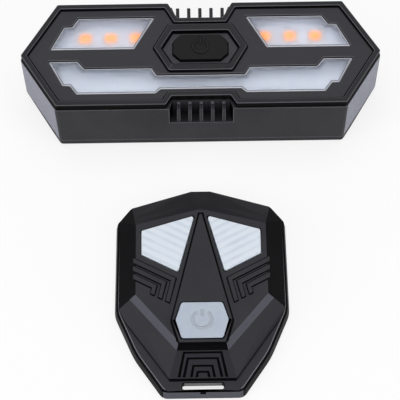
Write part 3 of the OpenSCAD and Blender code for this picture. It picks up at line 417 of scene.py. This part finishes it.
def painted_line(piece, width, body, slot, crest=None, inset=0, behind=1):
    """Black strip of painted shade, width mm wide, on the wide flats of a piece along the feet of
    its steps.

    Behind a step it is wider by the factor behind. With crest, a pale line of painted highlight
    along the edges for which crest is true, inset mm from them.
    """
    lift, wide = Vector((0, 0, LINE_LIFT)), 30 * MM * MM
    shape = bmesh.new()
    shape.from_mesh(piece.data)
    wanted = crest or (lambda edge: edge.calc_face_angle_signed(0) < -1)
    ways, runs = {}, []
    flats = [face for face in shape.faces if face.normal.z > 0.9 and face.calc_area() > wide]
    for loop in (loop for face in flats for loop in face.loops if wanted(loop.edge)):
        run = loop.vert, loop.link_loop_next.vert
        runs.append(run)
        for vert in run:
            inward = loop.face.normal.cross(run[1].co - run[0].co).normalized()
            ways.setdefault(vert, []).append(inward)
    points, first, faces = [], {}, []
    for vert, inward in ways.items():
        first[vert] = len(points)
        way = (inward[0] + inward[-1]) / (1 + inward[0].dot(inward[-1])) * MM
        reach = width * (behind if way.y > 0.3 * MM else 1)
        near, far = vert.co + way * inset, vert.co + way * (inset + reach)
        points += [near + lift, far + lift, far - lift, near - lift]
    for a, b in ((first[start], first[stop]) for start, stop in runs):
        faces += [(a + k, b + k, b + (k + 1) % 4, a + (k + 1) % 4) for k in range(4)]
    starts, stops = {run[0] for run in runs}, {run[1] for run in runs}
    faces += [tuple(first[vert] + k for k in range(4)) for vert in ways if vert not in stops]
    faces += [tuple(first[vert] + 3 - k for k in range(4)) for vert in ways if vert not in starts]
    shape.free()
    mesh = bpy.data.meshes.new(piece.name + "_bead")
    mesh.from_pydata(points, [], faces)
    strip = linked(mesh.name, mesh)
    stand_for(strip, body, slot, [highlight_line if crest else shade_black])
    print(strip.name, len(runs), "runs")


print("painted lines ready")

# %% [markdown]
# The light's outside: a drafted shell with a finned recess on either long side, and a back cover.
# In a recess, faces that look up or to the front are painted charcoal, as painted light, and the
# other walls black, as painted shade; sloping faces there take the paler edge finish, a painted
# highlight. The top of the ledge under the rim is painted black, as painted shade, and the
# slanted ends have the dry grain, painted paler, as painted light. A recess's upper edges and the
# cover's lowest ones stay sharp.

# %% Shell and back of the light
VENT_X, VENT_Y, VENT_LOW, VENT_TOP = 9.65, 16.2, 10.9, 17.95  # mm, limits of the recesses
LARGE = 100 * MM * MM  # end walls and the rim's top are larger than this


def outside_vents(edge):
    """True unless an edge is one of the upper edges of a recess."""
    points = [vert.co / MM for vert in edge.verts]
    return any(abs(p.x) > VENT_X or abs(p.y) > VENT_Y or p.z < VENT_TOP for p in points)


def above_foot(edge):
    """True unless an edge of the back cover is on the table or just above it."""
    return max(vert.co.z for vert in edge.verts) > 0.7 * MM


shell = soft_copy("light_shell", 0.16, share=outside_vents)
stand_for(shell, "light", "shell_plastic", [shell_sand, shade_black, end_sand_and_light, vent_light],
          "light_shell", edge=edge_highlight)
for face in shell.data.polygons:
    n, c = face.normal, face.center / MM
    # painted light and shade in the recesses, chosen by the way a face looks
    if abs(c.x) < VENT_X and abs(c.y) < VENT_Y + 0.1 and c.z > VENT_LOW:
        lit = n.z > 0.9 or (n.y < -0.9 and n.z < 0.5)
        dress(shell, face, vent_light if lit else shade_black if n.z < 0.5 else edge_highlight)
    # painted shade: the top of the ledge under the rim is black
    elif n.z > 0.9 and c.z > VENT_TOP:
        dress(shell, face, shade_black)
    # painted light: the large slanted ends take the paler finish
    elif abs(n.x) > 0.6 and face.area > LARGE:
        dress(shell, face, end_sand_and_light)
cover = soft_copy("light_back_cover", 0.2, share=above_foot)
stand_for(cover, "light", "back_plastic", [back_sand], "light_back_cover", edge=edge_highlight)
print(shell.name, "has", count(shell, vent_light), "charcoal faces in its recesses")
print(cover.name, "has", len(cover.data.polygons), "faces")

# %% [markdown]
# The face is one moulding: a raised rim, a sunk panel, and a ring round the key. Its steps are
# walls painted black with a black strip at the foot, both painted shade, and the near edges inside
# the ring are rounded and painted black too, as painted shade. The floor of the key's pocket is
# painted paler, as painted light.

# %% Face of the light
RIM_LOW, POCKET_TOP, POCKET_X, RING_X, RING_Y = 20.4, 19.5, 12, 11, 5.6  # mm
key_y = (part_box("light_power_key")[0].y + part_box("light_power_key")[1].y) / 2


def ring_edge(edge):
    """True for the near edges of the key's ring, on its inner side."""
    wall = min(edge.link_faces, key=lambda face: abs(face.normal.z))
    middle = (edge.verts[0].co + edge.verts[1].co) / 2
    near = -RING_Y * MM < middle.y - key_y < 0 < wall.normal.y
    return near and middle.z > RIM_LOW * MM and abs(middle.x) < RING_X * MM


def face_edge(edge):
    """True for edges that don't look down and aren't inside the ring."""
    return min(face.normal.z for face in edge.link_faces) > -0.5 and not ring_edge(edge)


bezel = soft_copy("light_bezel", 0.16, share=face_edge)
stand_for(bezel, "light", "face_plastic", [face_satin, shade_black, rim_satin, pocket_light],
          "light_bezel", edge=edge_highlight)
# A black strip of painted shade along the feet of the face's steps.
painted_line(bezel, 0.45, "light", "black_seal")
shape = bmesh.new()
shape.from_mesh(bezel.data)
inner = [edge for edge in shape.edges if len(edge.link_faces) == 2 and ring_edge(edge)]
bmesh.ops.bevel(shape, geom=inner, offset=0.3 * MM, offset_type="OFFSET", segments=2, profile=0.5,
                affect="EDGES", loop_slide=False,
                material=bezel.data.materials.find(shade_black.name))
shape.to_mesh(bezel.data)
shape.free()
# Painted shade on the walls and the ring's near edges, painted light on the key pocket's floor.
for face in bezel.data.polygons:
    n, c = face.normal, face.center / MM
    if abs(n.z) < 0.5 or face.material_index:
        dress(bezel, face, shade_black)
    elif n.z > 0.9 and c.z > RIM_LOW:
        dress(bezel, face, rim_satin if face.area > LARGE else face_satin)
    elif n.z > 0.9 and abs(c.x) < POCKET_X and c.z < POCKET_TOP:
        dress(bezel, face, pocket_light)
seal = soft_copy("light_gasket", 0.15)
stand_for(seal, "light", "black_seal", [seal_rubber], "light_gasket")
print(bezel.name, "with", len(inner), "black edges in the ring, and", seal.name)

# %% [markdown]
# The three windows are solid acrylic. From the outside in, each shows a polished bevel painted
# pale as a painted highlight, a thin dark line of painted shade where the bevel ends, and a
# frosted field darkened by painted shade along its far side, under the edge of the face. The
# outline of a window is found by letting its long edges run on until they meet; rings inside that
# outline carry the line and the shade, which fades from ring to ring.

# %% Windows
BEVEL, LINE, FADE = 0.35, 0.25, 1.1  # mm, from the outside in
CORNER_RUN = 0.7 * MM  # shorter edges belong to a rounded corner
LEAST_SHADE = 0.15  # on the near side; the far side has 1
EDGE_AT, LINE_AT = 1, 2  # places of the bevel's and the line's finish, after the field's


def border(piece, bevel, line, fade):
    """Inside a window's bevel, sets a line and a ring of painted shade, line and fade mm wide."""
    shape = bmesh.new()
    shape.from_mesh(piece.data)
    shade = shape.verts.layers.float.new("shade")
    field = max(shape.faces, key=lambda face: face.calc_center_median().z)
    outline, height = list(field.verts), field.verts[0].co.z
    runs = [(v.co.xy, w.co.xy - v.co.xy) for v, w in zip(outline, outline[1:] + outline[:1])]
    long = [i for i, (p, u) in enumerate(runs) if u.length > CORNER_RUN]
    bmesh.ops.delete(shape, geom=[field], context="FACES_ONLY")
    outer, inner = [], []
    for i, j in zip(long, long[1:] + long[:1]):
        (p, u), (q, v) = runs[i], runs[j]
        corner = p + u * ((q - p).cross(v) / u.cross(v))
        a, b = Vector((u.y, -u.x)).normalized(), Vector((v.y, -v.x)).normalized()
        step = (a + b) / (1 + a.dot(b)) * MM
        outer.append(shape.verts.new((*(corner - step * (bevel + line)), height)))
        inner.append(shape.verts.new((*(corner - step * (bevel + line + fade)), height)))
        far_side = max(0, (a + b).normalized().y)
        outer[-1][shade] = LEAST_SHADE + (1 - LEAST_SHADE) * far_side
    owner = [bisect_left(long, i) - 1 for i in range(len(outline))]
    for i, vert in enumerate(outline):
        j = (i + 1) % len(outline)
        ends = [outer[owner[j]], outer[owner[i]]]
        quad = [vert, outline[j]] + ends[: 1 + (ends[0] != ends[1])]
        shape.faces.new(quad).material_index = LINE_AT
    for k in range(len(outer)):
        shape.faces.new((outer[k - 1], outer[k], inner[k], inner[k - 1]))
    shape.faces.new(inner)
    shape.to_mesh(piece.data)
    shape.free()


def at_top(edge):
    """True for the edges of a window's front, and not for those of its flange."""
    return max(vert.co.z for vert in edge.verts) > 19 * MM


for node, slot, finish in (
    ("left_signal_lens", "signal_lens", clear_acrylic),
    ("right_signal_lens", "signal_lens", clear_acrylic),
    ("tail_lens", "tail_lens", opal_acrylic),
):
    piece = soft_copy(node, BEVEL, segments=2, share=at_top)
    border(piece, BEVEL, LINE, FADE)
    stand_for(piece, "light", slot, [finish, acrylic_highlight, acrylic_shade_line], node)
    piece.modifiers["mould_radius"].material = EDGE_AT

# %% [markdown]
# The power key is one rubber moulding with a raised mark. The mark is worn smooth and greyer than
# the key, so the faces of its top take a second finish. The flap over the charging socket is the
# same kind of rubber.

# %% Rubber key and flap
MARK_RISE = 0.19 * MM  # a little less than the height of the mark
key = soft_copy("light_power_key", 0.12)
stand_for(key, "power_button", "key_rubber", [key_rubber, mark_rubber], "light_power_key")
mark_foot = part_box("light_power_key")[1].z - MARK_RISE
for face in key.data.polygons:
    if face.center.z > mark_foot and face.normal.z > -0.5:
        dress(key, face, mark_rubber)
# A black strip of painted shade along the foot of the key's mark.
painted_line(key, 0.16, "power_button", "key_rubber")
flap = soft_copy("charge_cover", 0.15)
stand_for(flap, "charge_flap", "flap_rubber", [flap_rubber], "charge_cover")
print("mark has", count(key, mark_rubber), "faces")

# %% [markdown]
# The remote's base is a flat apron with a slot for a strap. The upper outer edge is rounded more
# than the rest, and a pale line of painted highlight runs along it, half a millimetre in. The
# slot's far wall is painted grey and glossier, and the near end of the base paler, both painted
# light; its other walls and its rounded edges are painted black, as painted shade.

# %% Base of the remote
APRON_TOP, SLOT_NEAR, SLOT_FAR = 3.2 * MM, -92.5 * MM, -90.5 * MM


def outline(edge):
    """True for the upper outer edge of the base, but for its near end."""
    leans = any(0.1 < face.normal.z < 0.2 and face.normal.y > -0.9 for face in edge.link_faces)
    return leans and min(vert.co.z for vert in edge.verts) > APRON_TOP - 0.1 * MM


def outline_most(edge):
    """All of the rounding along the outline, and about a third of it elsewhere."""
    return 1.0 if outline(edge) else 0.36


base = soft_copy("remote_base", 0.55, share=outline_most)
# A pale line of painted highlight, half a millimetre inside the base's outline.
painted_line(base, 0.24, "remote", "remote_base_plastic", outline, 0.5)
stand_for(base, "remote", "remote_base_plastic",
          [remote_satin, shade_black, slot_light, remote_light], "remote_base", edge=remote_shade)
# Painted light on the slot's far wall and the near end, painted shade on the other walls.
for face in base.data.polygons:
    n, y = face.normal, face.center.y
    if n.y < -0.9 and SLOT_NEAR < y < SLOT_FAR and face.area > 10 * MM * MM:
        dress(base, face, slot_light)
    elif n.y < -0.9 and y < SLOT_NEAR and n.z > 0.1:
        dress(base, face, remote_light)
    elif abs(n.z) < 0.3:
        dress(base, face, shade_black)
print("slot walls:", count(base, slot_light), "and near end:", count(base, remote_light))

# %% [markdown]
# On the upper shell the steep side facets and the end of the nose are painted nearly black, as
# painted shade, and the two strips along the plate's lower edges are painted paler, as painted
# light, so faces are sorted by the way they look: sideways, to the front, or both at once. Large
# facets that look away are painted darker and steep walls and groove floors black, all painted
# shade. The chin, below the nose, is painted dark under a slanted line that runs from the seam up
# to the ledge, as painted shade.

# %% Upper shell of the remote
CHIN_TOP, CHIN_FOOT, CHIN_X = -84.5 * MM, -90.6 * MM, 7 * MM  # both ends in y, and half the width
SEAM, LEDGE, NOSE, GROOVE, STRIP_TOP = (z * MM for z in (3.9, 8.3, 8.4, 10.15, 10.6))  # heights
FACET = 4 * MM * MM  # the main facets are larger than this

upper = soft_copy("remote_top", 0.1, facet=3)
# A black strip of painted shade along the feet of the upper shell's steps, wider behind a step.
painted_line(upper, 0.2, "remote", "remote_plastic", behind=1.7)
stand_for(upper, "remote", "remote_plastic",
          [remote_satin, shade_black, remote_shade, remote_light, remote_far_shade], "remote_top")
low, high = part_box("remote_top")
middle = (low + high) / 2
# Painted shade on side facets, the nose's end, far facets, walls, grooves and the chin; painted
# light on the strips.
for face in upper.data.polygons:
    n, c = face.normal, face.center
    steep = 0.2 < n.z < 0.75 and face.area > FACET
    central = abs(c.x - middle.x) < CHIN_X
    if steep and ((abs(n.x) > 0.6 and abs(n.y) < 0.36) or (abs(n.x) > 0.4 and n.y > 0.3)):
        dress(upper, face, remote_shade)
    elif central and n.y < -0.75 and c.z > NOSE and c.y < middle.y - 10 * MM:
        dress(upper, face, remote_shade)
    elif steep and abs(n.x) > 0.3 and n.y < -0.3 and LEDGE < c.z < STRIP_TOP:
        dress(upper, face, remote_light)
    elif 0.5 < n.z < 0.9 and n.y > 0.4 and face.area > FACET:
        dress(upper, face, remote_far_shade)
    elif abs(n.z) < 0.15 or (n.z > 0.99 and abs(c.z - GROOVE) < 0.05 * MM):
        dress(upper, face, shade_black)
    elif central and CHIN_FOOT < c.y < CHIN_TOP + 0.2 * MM:
        slope = SEAM + (c.y - CHIN_FOOT) / (CHIN_TOP - CHIN_FOOT) * (LEDGE - SEAM)
        dress(upper, face, remote_shade if c.z < slope - 0.15 * MM else remote_satin)
print("dark facets:", count(upper, remote_shade), "and pale ones:", count(upper, remote_light))

# %% [markdown]
# Where the chin stands on the apron a black strip of painted shade lies too. Its flat belongs to
# the other shell, so this strip is a plain box in front of the chin's foot.

# %% Painted shade at the chin's foot
foot = [face for face in upper.data.polygons
        if face.normal.y < -0.9 and face.center.z < SEAM and face.center.y < CHIN_TOP]
ends = [upper.data.vertices[i].co for face in foot for i in face.vertices]
x0, x1, y1 = min(v.x for v in ends), max(v.x for v in ends), min(v.y for v in ends)
y0 = y1 - 0.45 * MM
corners = ((x0, y0), (x1, y0), (x1, y1), (x0, y1))
levels = (APRON_TOP - LINE_LIFT, APRON_TOP + LINE_LIFT)
walls = [(k, (k + 1) % 4, (k + 1) % 4 + 4, k + 4) for k in range(4)]
mesh = bpy.data.meshes.new("chin_foot_bead")
mesh.from_pydata([(x, y, z) for z in levels for x, y in corners], [],
                 [(3, 2, 1, 0), (4, 5, 6, 7)] + walls)
strip = linked(mesh.name, mesh)
stand_for(strip, "remote", "remote_plastic", [shade_black])
print("chin's foot is", round((x1 - x0) / MM, 2), "mm wide")

# %% [markdown]
# The three keys stand a little proud of their openings and have soft upper edges.

# %% Keys of the remote
for node, body, slot, finish in (
    ("left_key", "left_button", "pad_silicone", left_silicone),
    ("right_key", "right_button", "pad_silicone", right_silicone),
    ("remote_power_key", "remote_power_button", "power_pad_silicone", power_silicone),
):
    piece = soft_copy(node, 0.2)
    stand_for(piece, body, slot, [finish], node)

# %% [markdown]
# What repeats or follows a path is grown with Geometry Nodes. A tree has an input for each of its
# sizes; it sets one part on every point, makes the copies real and gives them a finish. The result
# is kept as a plain mesh.


# %% Geometry node helpers
def new_tree(name, sizes):
    """Geometry tree with one input for each size, and its two end nodes."""
    tree = bpy.data.node_groups.new(name, "GeometryNodeTree")
    tree.interface.new_socket(name="Geometry", in_out="INPUT", socket_type="NodeSocketGeometry")
    for size in sizes:
        tree.interface.new_socket(name=size, in_out="INPUT", socket_type="NodeSocketFloat")
    tree.interface.new_socket(name="Geometry", in_out="OUTPUT", socket_type="NodeSocketGeometry")
    return tree, tree.nodes.new("NodeGroupInput"), tree.nodes.new("NodeGroupOutput")


def vector(tree, x=0.0, y=0.0, z=0.0):
    """Vector of three values."""
    return add(tree, "ShaderNodeCombineXYZ", {0: x, 1: y, 2: z})


def joined(tree, *parts):
    """One geometry made of several."""
    whole = tree.nodes.new("GeometryNodeJoinGeometry")
    for part in parts:
        tree.links.new(part.outputs[0], whole.inputs[0])
    return whole


def on_points(tree, start, part, end, finish, flat_finish=None):
    """Ends a tree: the part on every point, made real, with a finish, or another for flat faces."""
    points = {"Points": start.outputs[0], "Instance": part}
    placed = add(tree, "GeometryNodeInstanceOnPoints", points)
    last = add(tree, "GeometryNodeRealizeInstances", {0: placed})
    last = add(tree, "GeometryNodeSetMaterial", {"Geometry": last, "Material": finish})
    if flat_finish:
        flat = maths(tree, "LESS_THAN", add(tree, "GeometryNodeInputShadeSmooth"), 0.5)
        last = add(tree, "GeometryNodeSetMaterial", {
            "Geometry": last, "Selection": flat, "Material": flat_finish})
    tree.links.new(last.outputs[0], end.inputs[0])


def grown(name, tree, points, sizes):
    """Mesh that a tree grows on a set of points, with its sizes in mm."""
    seed = bpy.data.meshes.new(name)
    seed.from_pydata([Vector(p) * MM for p in points], [], [])
    carrier = linked(name, seed)
    modifier = carrier.modifiers.new("grow", "NODES")
    modifier.node_group = tree
    for socket in tree.interface.items_tree:
        if socket.in_out == "INPUT" and socket.name in sizes:
            modifier[socket.identifier] = sizes[socket.name] * MM
    graph = bpy.context.evaluated_depsgraph_get()
    carrier.data = bpy.data.meshes.new_from_object(carrier.evaluated_get(graph), depsgraph=graph)
    carrier.modifiers.clear()
    return carrier


print("tree helpers ready")

# %% [markdown]
# The power mark on the remote is printed under the key's skin: an open ring with a bar. A thin
# strip is swept along an arc and along a short line, and both lie on the key.

# %% Power mark of the remote
tree, start, end = new_tree("printed_power_mark", ["Radius", "Stroke"])
radius, stroke = start.outputs["Radius"], start.outputs["Stroke"]
arc = add(tree, "GeometryNodeCurveArc", {
    "Resolution": 40, "Radius": radius,
    "Start Angle": math.radians(125), "Sweep Angle": math.radians(290)})
bar = add(tree, "GeometryNodeCurvePrimitiveLine", {
    "Start": vector(tree, y=maths(tree, "MULTIPLY", radius, 0.4)),
    "End": vector(tree, y=maths(tree, "MULTIPLY", radius, 1.2))})
strip = add(tree, "GeometryNodeCurvePrimitiveQuadrilateral", {
    "Width": stroke, "Height": 0.04 * MM})
swept = add(tree, "GeometryNodeCurveToMesh", {
    "Curve": joined(tree, arc, bar), "Profile Curve": strip, "Fill Caps": True})
on_points(tree, start, swept, end, power_grey)

MARK_IN = 5.4  # mm from the key's near edge to the middle of the ring
low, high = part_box("remote_power_key")
mark_at = ((low.x + high.x) / 2 / MM, low.y / MM + MARK_IN, high.z / MM)
mark = grown("remote_power_mark", tree, [mark_at], {"Radius": 2.5, "Stroke": 0.85})
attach(mark, "remote_power_button")
print("power mark has", len(mark.data.polygons), "faces")

# %% [markdown]
# The LEDs are chips: a case with a window of resin. One tree makes a chip and sets it on every
# point, and the two rows differ in size, resin and case: the signal LEDs are lit, and their amber
# light tints the white case.


# %% LED chips
def chip_tree(name, resin, ceramic):
    """Tree that sets an LED chip on every point."""
    tree, start, end = new_tree(name, ["Length", "Width", "Height", "Window"])
    sizes = start.outputs
    height = sizes["Height"]
    case = add(tree, "GeometryNodeMeshCube", {
        "Size": vector(tree, sizes["Length"], sizes["Width"], height)})
    case = add(tree, "GeometryNodeTransform", {
        "Geometry": case, "Translation": vector(tree, z=maths(tree, "MULTIPLY", height, 0.5))})
    dome = add(tree, "GeometryNodeMeshUVSphere", {
        "Segments": 32, "Rings": 12, "Radius": sizes["Window"]})
    dome = add(tree, "GeometryNodeTransform", {
        "Geometry": dome, "Scale": (1, 1, 0.07), "Translation": vector(tree, z=height)})
    dome = add(tree, "GeometryNodeSetShadeSmooth", {"Geometry": dome, "Shade Smooth": True})
    on_points(tree, start, joined(tree, case, dome), end, resin, ceramic)
    return tree


def feet(node, length):
    """Middle of the foot of every chip in a CAD row; a wide step in x parts two chips."""
    at = sorted(v.co.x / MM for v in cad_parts[node].data.vertices)
    low, high = (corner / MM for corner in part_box(node))
    starts = [low.x] + [b for a, b in zip(at, at[1:]) if b - a > 1]
    return [(x + length / 2, (low.y + high.y) / 2, low.z) for x in starts]


signal_size = {"Length": 3.5, "Width": 2.8, "Height": 0.8, "Window": 1.38}
signal_feet = feet("signal_leds", signal_size["Length"])
leds = grown("signal_led_chips", chip_tree("signal_chips", amber_resin, chip_amber),
             signal_feet, signal_size)
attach(leds, "light")
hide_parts("signal_leds")
tail_size = {"Length": 2.8, "Width": 3.5, "Height": 0.8, "Window": 1.25}
tail_feet = feet("tail_leds", tail_size["Length"])
tail = grown("tail_led_chips", chip_tree("tail_chips", white_resin, chip_white),
             tail_feet, tail_size)
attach(tail, "light")
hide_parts("tail_leds")
print("chips:", len(signal_feet), "signal and", len(tail_feet), "tail")

# %% [markdown]
# Both units are screwed together from below with zinc-plated screws. A tree turns a flat cylinder
# into a low dome, cuts a cross into it and sets it on every point. The head faces the table.

# %% Tree of a screw
SCREW_SIZES = ("Head radius", "Head height", "Shank radius", "Length", "Crown")
tree, start, end = new_tree("cross_head_screws", SCREW_SIZES)
radius, height, shank_radius, length, crown = (start.outputs[size] for size in SCREW_SIZES)
head = add(tree, "GeometryNodeMeshCylinder", {
    "Vertices": 40, "Fill Segments": 5, "Radius": radius, "Depth": height})
spot = add(tree, "ShaderNodeSeparateXYZ", {0: add(tree, "GeometryNodeInputPosition")}).outputs
reach = add(tree, "ShaderNodeVectorMath", {0: vector(tree, spot[0], spot[1])}, operation="LENGTH")
share = maths(tree, "DIVIDE", reach.outputs[1], radius)
rise = maths(tree, "MULTIPLY", maths(tree, "POWER", share, 2.0), crown)
domed = add(tree, "GeometryNodeSetPosition", {
    "Geometry": head, "Selection": maths(tree, "LESS_THAN", spot[2], 0.0),
    "Offset": vector(tree, z=rise)})
domed = add(tree, "GeometryNodeTransform", {
    "Geometry": domed, "Translation": vector(tree, z=maths(tree, "MULTIPLY", height, 0.5))})
long, thin = maths(tree, "MULTIPLY", radius, 1.3), maths(tree, "MULTIPLY", radius, 0.3)
bars = [add(tree, "GeometryNodeMeshCube", {"Size": vector(tree, x, y, height)})
        for x, y in ((long, thin), (thin, long))]
cut = add(tree, "GeometryNodeMeshBoolean", {
    "Mesh 1": domed, "Mesh 2": joined(tree, *bars), "Self Intersection": True},
    operation="DIFFERENCE", solver="EXACT")
shank = add(tree, "GeometryNodeMeshCylinder", {
    "Vertices": 24, "Radius": shank_radius, "Depth": length})
middle_z = maths(tree, "MULTIPLY_ADD", length, 0.5, height)
shank = add(tree, "GeometryNodeTransform", {
    "Geometry": shank, "Translation": vector(tree, z=middle_z)})
on_points(tree, start, joined(tree, cut, shank), end, screw_steel)
print("screw tree has", len(tree.nodes), "nodes")

# %% [markdown]
# Four screws hold the light's back, and four smaller ones the remote's. Their heads are sunk, a
# tenth of a millimetre above the table.

# %% Screws
SUNK = 0.1  # mm from the table to the heads
REMOTE_X, REMOTE_Y = -0.6, -64.6  # mm, where the remote's own zero lies
cover_at = [(x, y, SUNK) for x in (-30, 30) for y in (-11.6, 11.6)]
remote_at = [(REMOTE_X + x, REMOTE_Y + y, SUNK)
             for x, y in ((-17.2, 10), (17.2, 10), (-13.3, -11.5), (13.3, -11.5))]
for node, body, places, sizes in (
    ("cover_screws", "light", cover_at, (2.4, 1.2, 1.2, 7.4, 0.25)),
    ("remote_screws", "remote", remote_at, (1.9, 0.8, 1.0, 3.8, 0.25)),
):
    screws = grown(node + "_cross_head", tree, places, dict(zip(SCREW_SIZES, sizes)))
    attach(screws, body)
    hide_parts(node)
    print(screws.name, len(screws.data.polygons), "faces")

# %% [markdown]
# The battery door lies flush in the base with its O-ring, and everything else is inside. These
# CAD pieces keep their shapes, and each takes the finish of what it is made of.

# %% Battery door and the pieces inside
door = soft_copy("cell_door", 0.12)
stand_for(door, "door", "back_plastic", [back_sand], "cell_door")
for finish, nodes in (
    (board_green, ("light_board", "remote_board", "radio_receiver")),
    (switch_tin, ("light_switch", "remote_switches", "charge_socket", "cell_contact")),
    (plunger_black, ("light_plunger", "left_plunger", "right_plunger", "power_plunger")),
    (seal_rubber, ("remote_seal", "cell_door_ring")),
    (screw_steel, ("board_screws",)),
    (cell_foil, ("light_battery",)),
    (cell_steel, ("coin_cell",)),
    (chip_black, ("radio_sender", "cell_holder")),
    (chip_white, ("remote_leds",)),
    (white_tray, ("light_reflector",)),
):
    for node in nodes:
        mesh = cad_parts[node].data
        mesh.materials.clear()
        mesh.materials.append(finish)
    print(finish.name, "on", ", ".join(nodes))

# %% [markdown]
# A white studio: a wide soft box overhead, two lower ones at the front corners that rake the
# slanted ends, and a pale floor. The camera, reflections and windows see white all round, and the
# floor lets part of the object's shadow through.


# %% Floor
def seen_directly(tree):
    """1 for rays from the camera, through a window or off a gloss, and 0 for the rest."""
    path = add(tree, "ShaderNodeLightPath").outputs
    direct = maths(tree, "MAXIMUM", path["Is Camera Ray"], path["Is Transmission Ray"])
    return maths(tree, "MAXIMUM", direct, path["Is Glossy Ray"])


WHITE_SHARE = 0.78  # of what is seen directly; the rest is matt and takes the shadow
floor_mesh = bpy.data.meshes.new("studio_floor")
floor_corners = [(x, y, -0.1 * MM) for x, y in ((-2, -2), (2, -2), (2, 2), (-2, 2))]
floor_mesh.from_pydata(floor_corners, [], [(0, 1, 2, 3)])
floor = linked("studio_floor", floor_mesh)
paper = bpy.data.materials.new("white_paper_floor")
paper.use_nodes = True
tree = paper.node_tree
tree.nodes.clear()
white = add(tree, "ShaderNodeEmission", {"Color": (1, 1, 1, 1), "Strength": 1.0})
matt = add(tree, "ShaderNodeBsdfDiffuse", {"Color": (0.95, 0.95, 0.95, 1)})
amount = maths(tree, "MULTIPLY", seen_directly(tree), WHITE_SHARE)
mixed = add(tree, "ShaderNodeMixShader", {0: amount, 1: matt, 2: white})
tree.links.new(mixed.outputs[0], add(tree, "ShaderNodeOutputMaterial").inputs[0])
floor_mesh.materials.append(paper)
print("floor lies", round(-floor_corners[0][2] / MM, 2), "mm under the set")

# %% [markdown]
# The world lights the set at half strength and shows as white where it is seen directly. The three
# soft boxes are aimed at the gap between the two units.

# %% World and soft boxes
world = bpy.data.worlds.new("white_studio")
bpy.context.scene.world = world
world.use_nodes = True
tree = world.node_tree
tree.nodes.clear()
level = add(tree, "ShaderNodeMapRange", {0: seen_directly(tree), 3: 0.5, 4: 1.0})
sky = add(tree, "ShaderNodeBackground", {"Color": (1, 1, 1, 1), "Strength": level})
tree.links.new(sky.outputs[0], add(tree, "ShaderNodeOutputWorld").inputs[0])

target = Vector((0, -0.03, 0.01))
for name, place, size, power in (
    ("overhead_box", (0.0, 0.1, 0.9), 0.7, 3.2),
    ("left_box", (-0.75, -0.45, 0.35), 0.4, 2.2),
    ("right_box", (0.75, -0.45, 0.35), 0.4, 1.7),
):
    data = bpy.data.lights.new(name, "AREA")
    data.size = size
    data.energy = power
    lamp = linked(name, data)
    turn = (target - Vector(place)).to_track_quat("-Z", "Y").to_matrix().to_4x4()
    lamp.matrix_world = Matrix.Translation(place) @ turn
    print(name, "has", power, "W")
bpy.context.scene.view_settings.view_transform = "Standard"
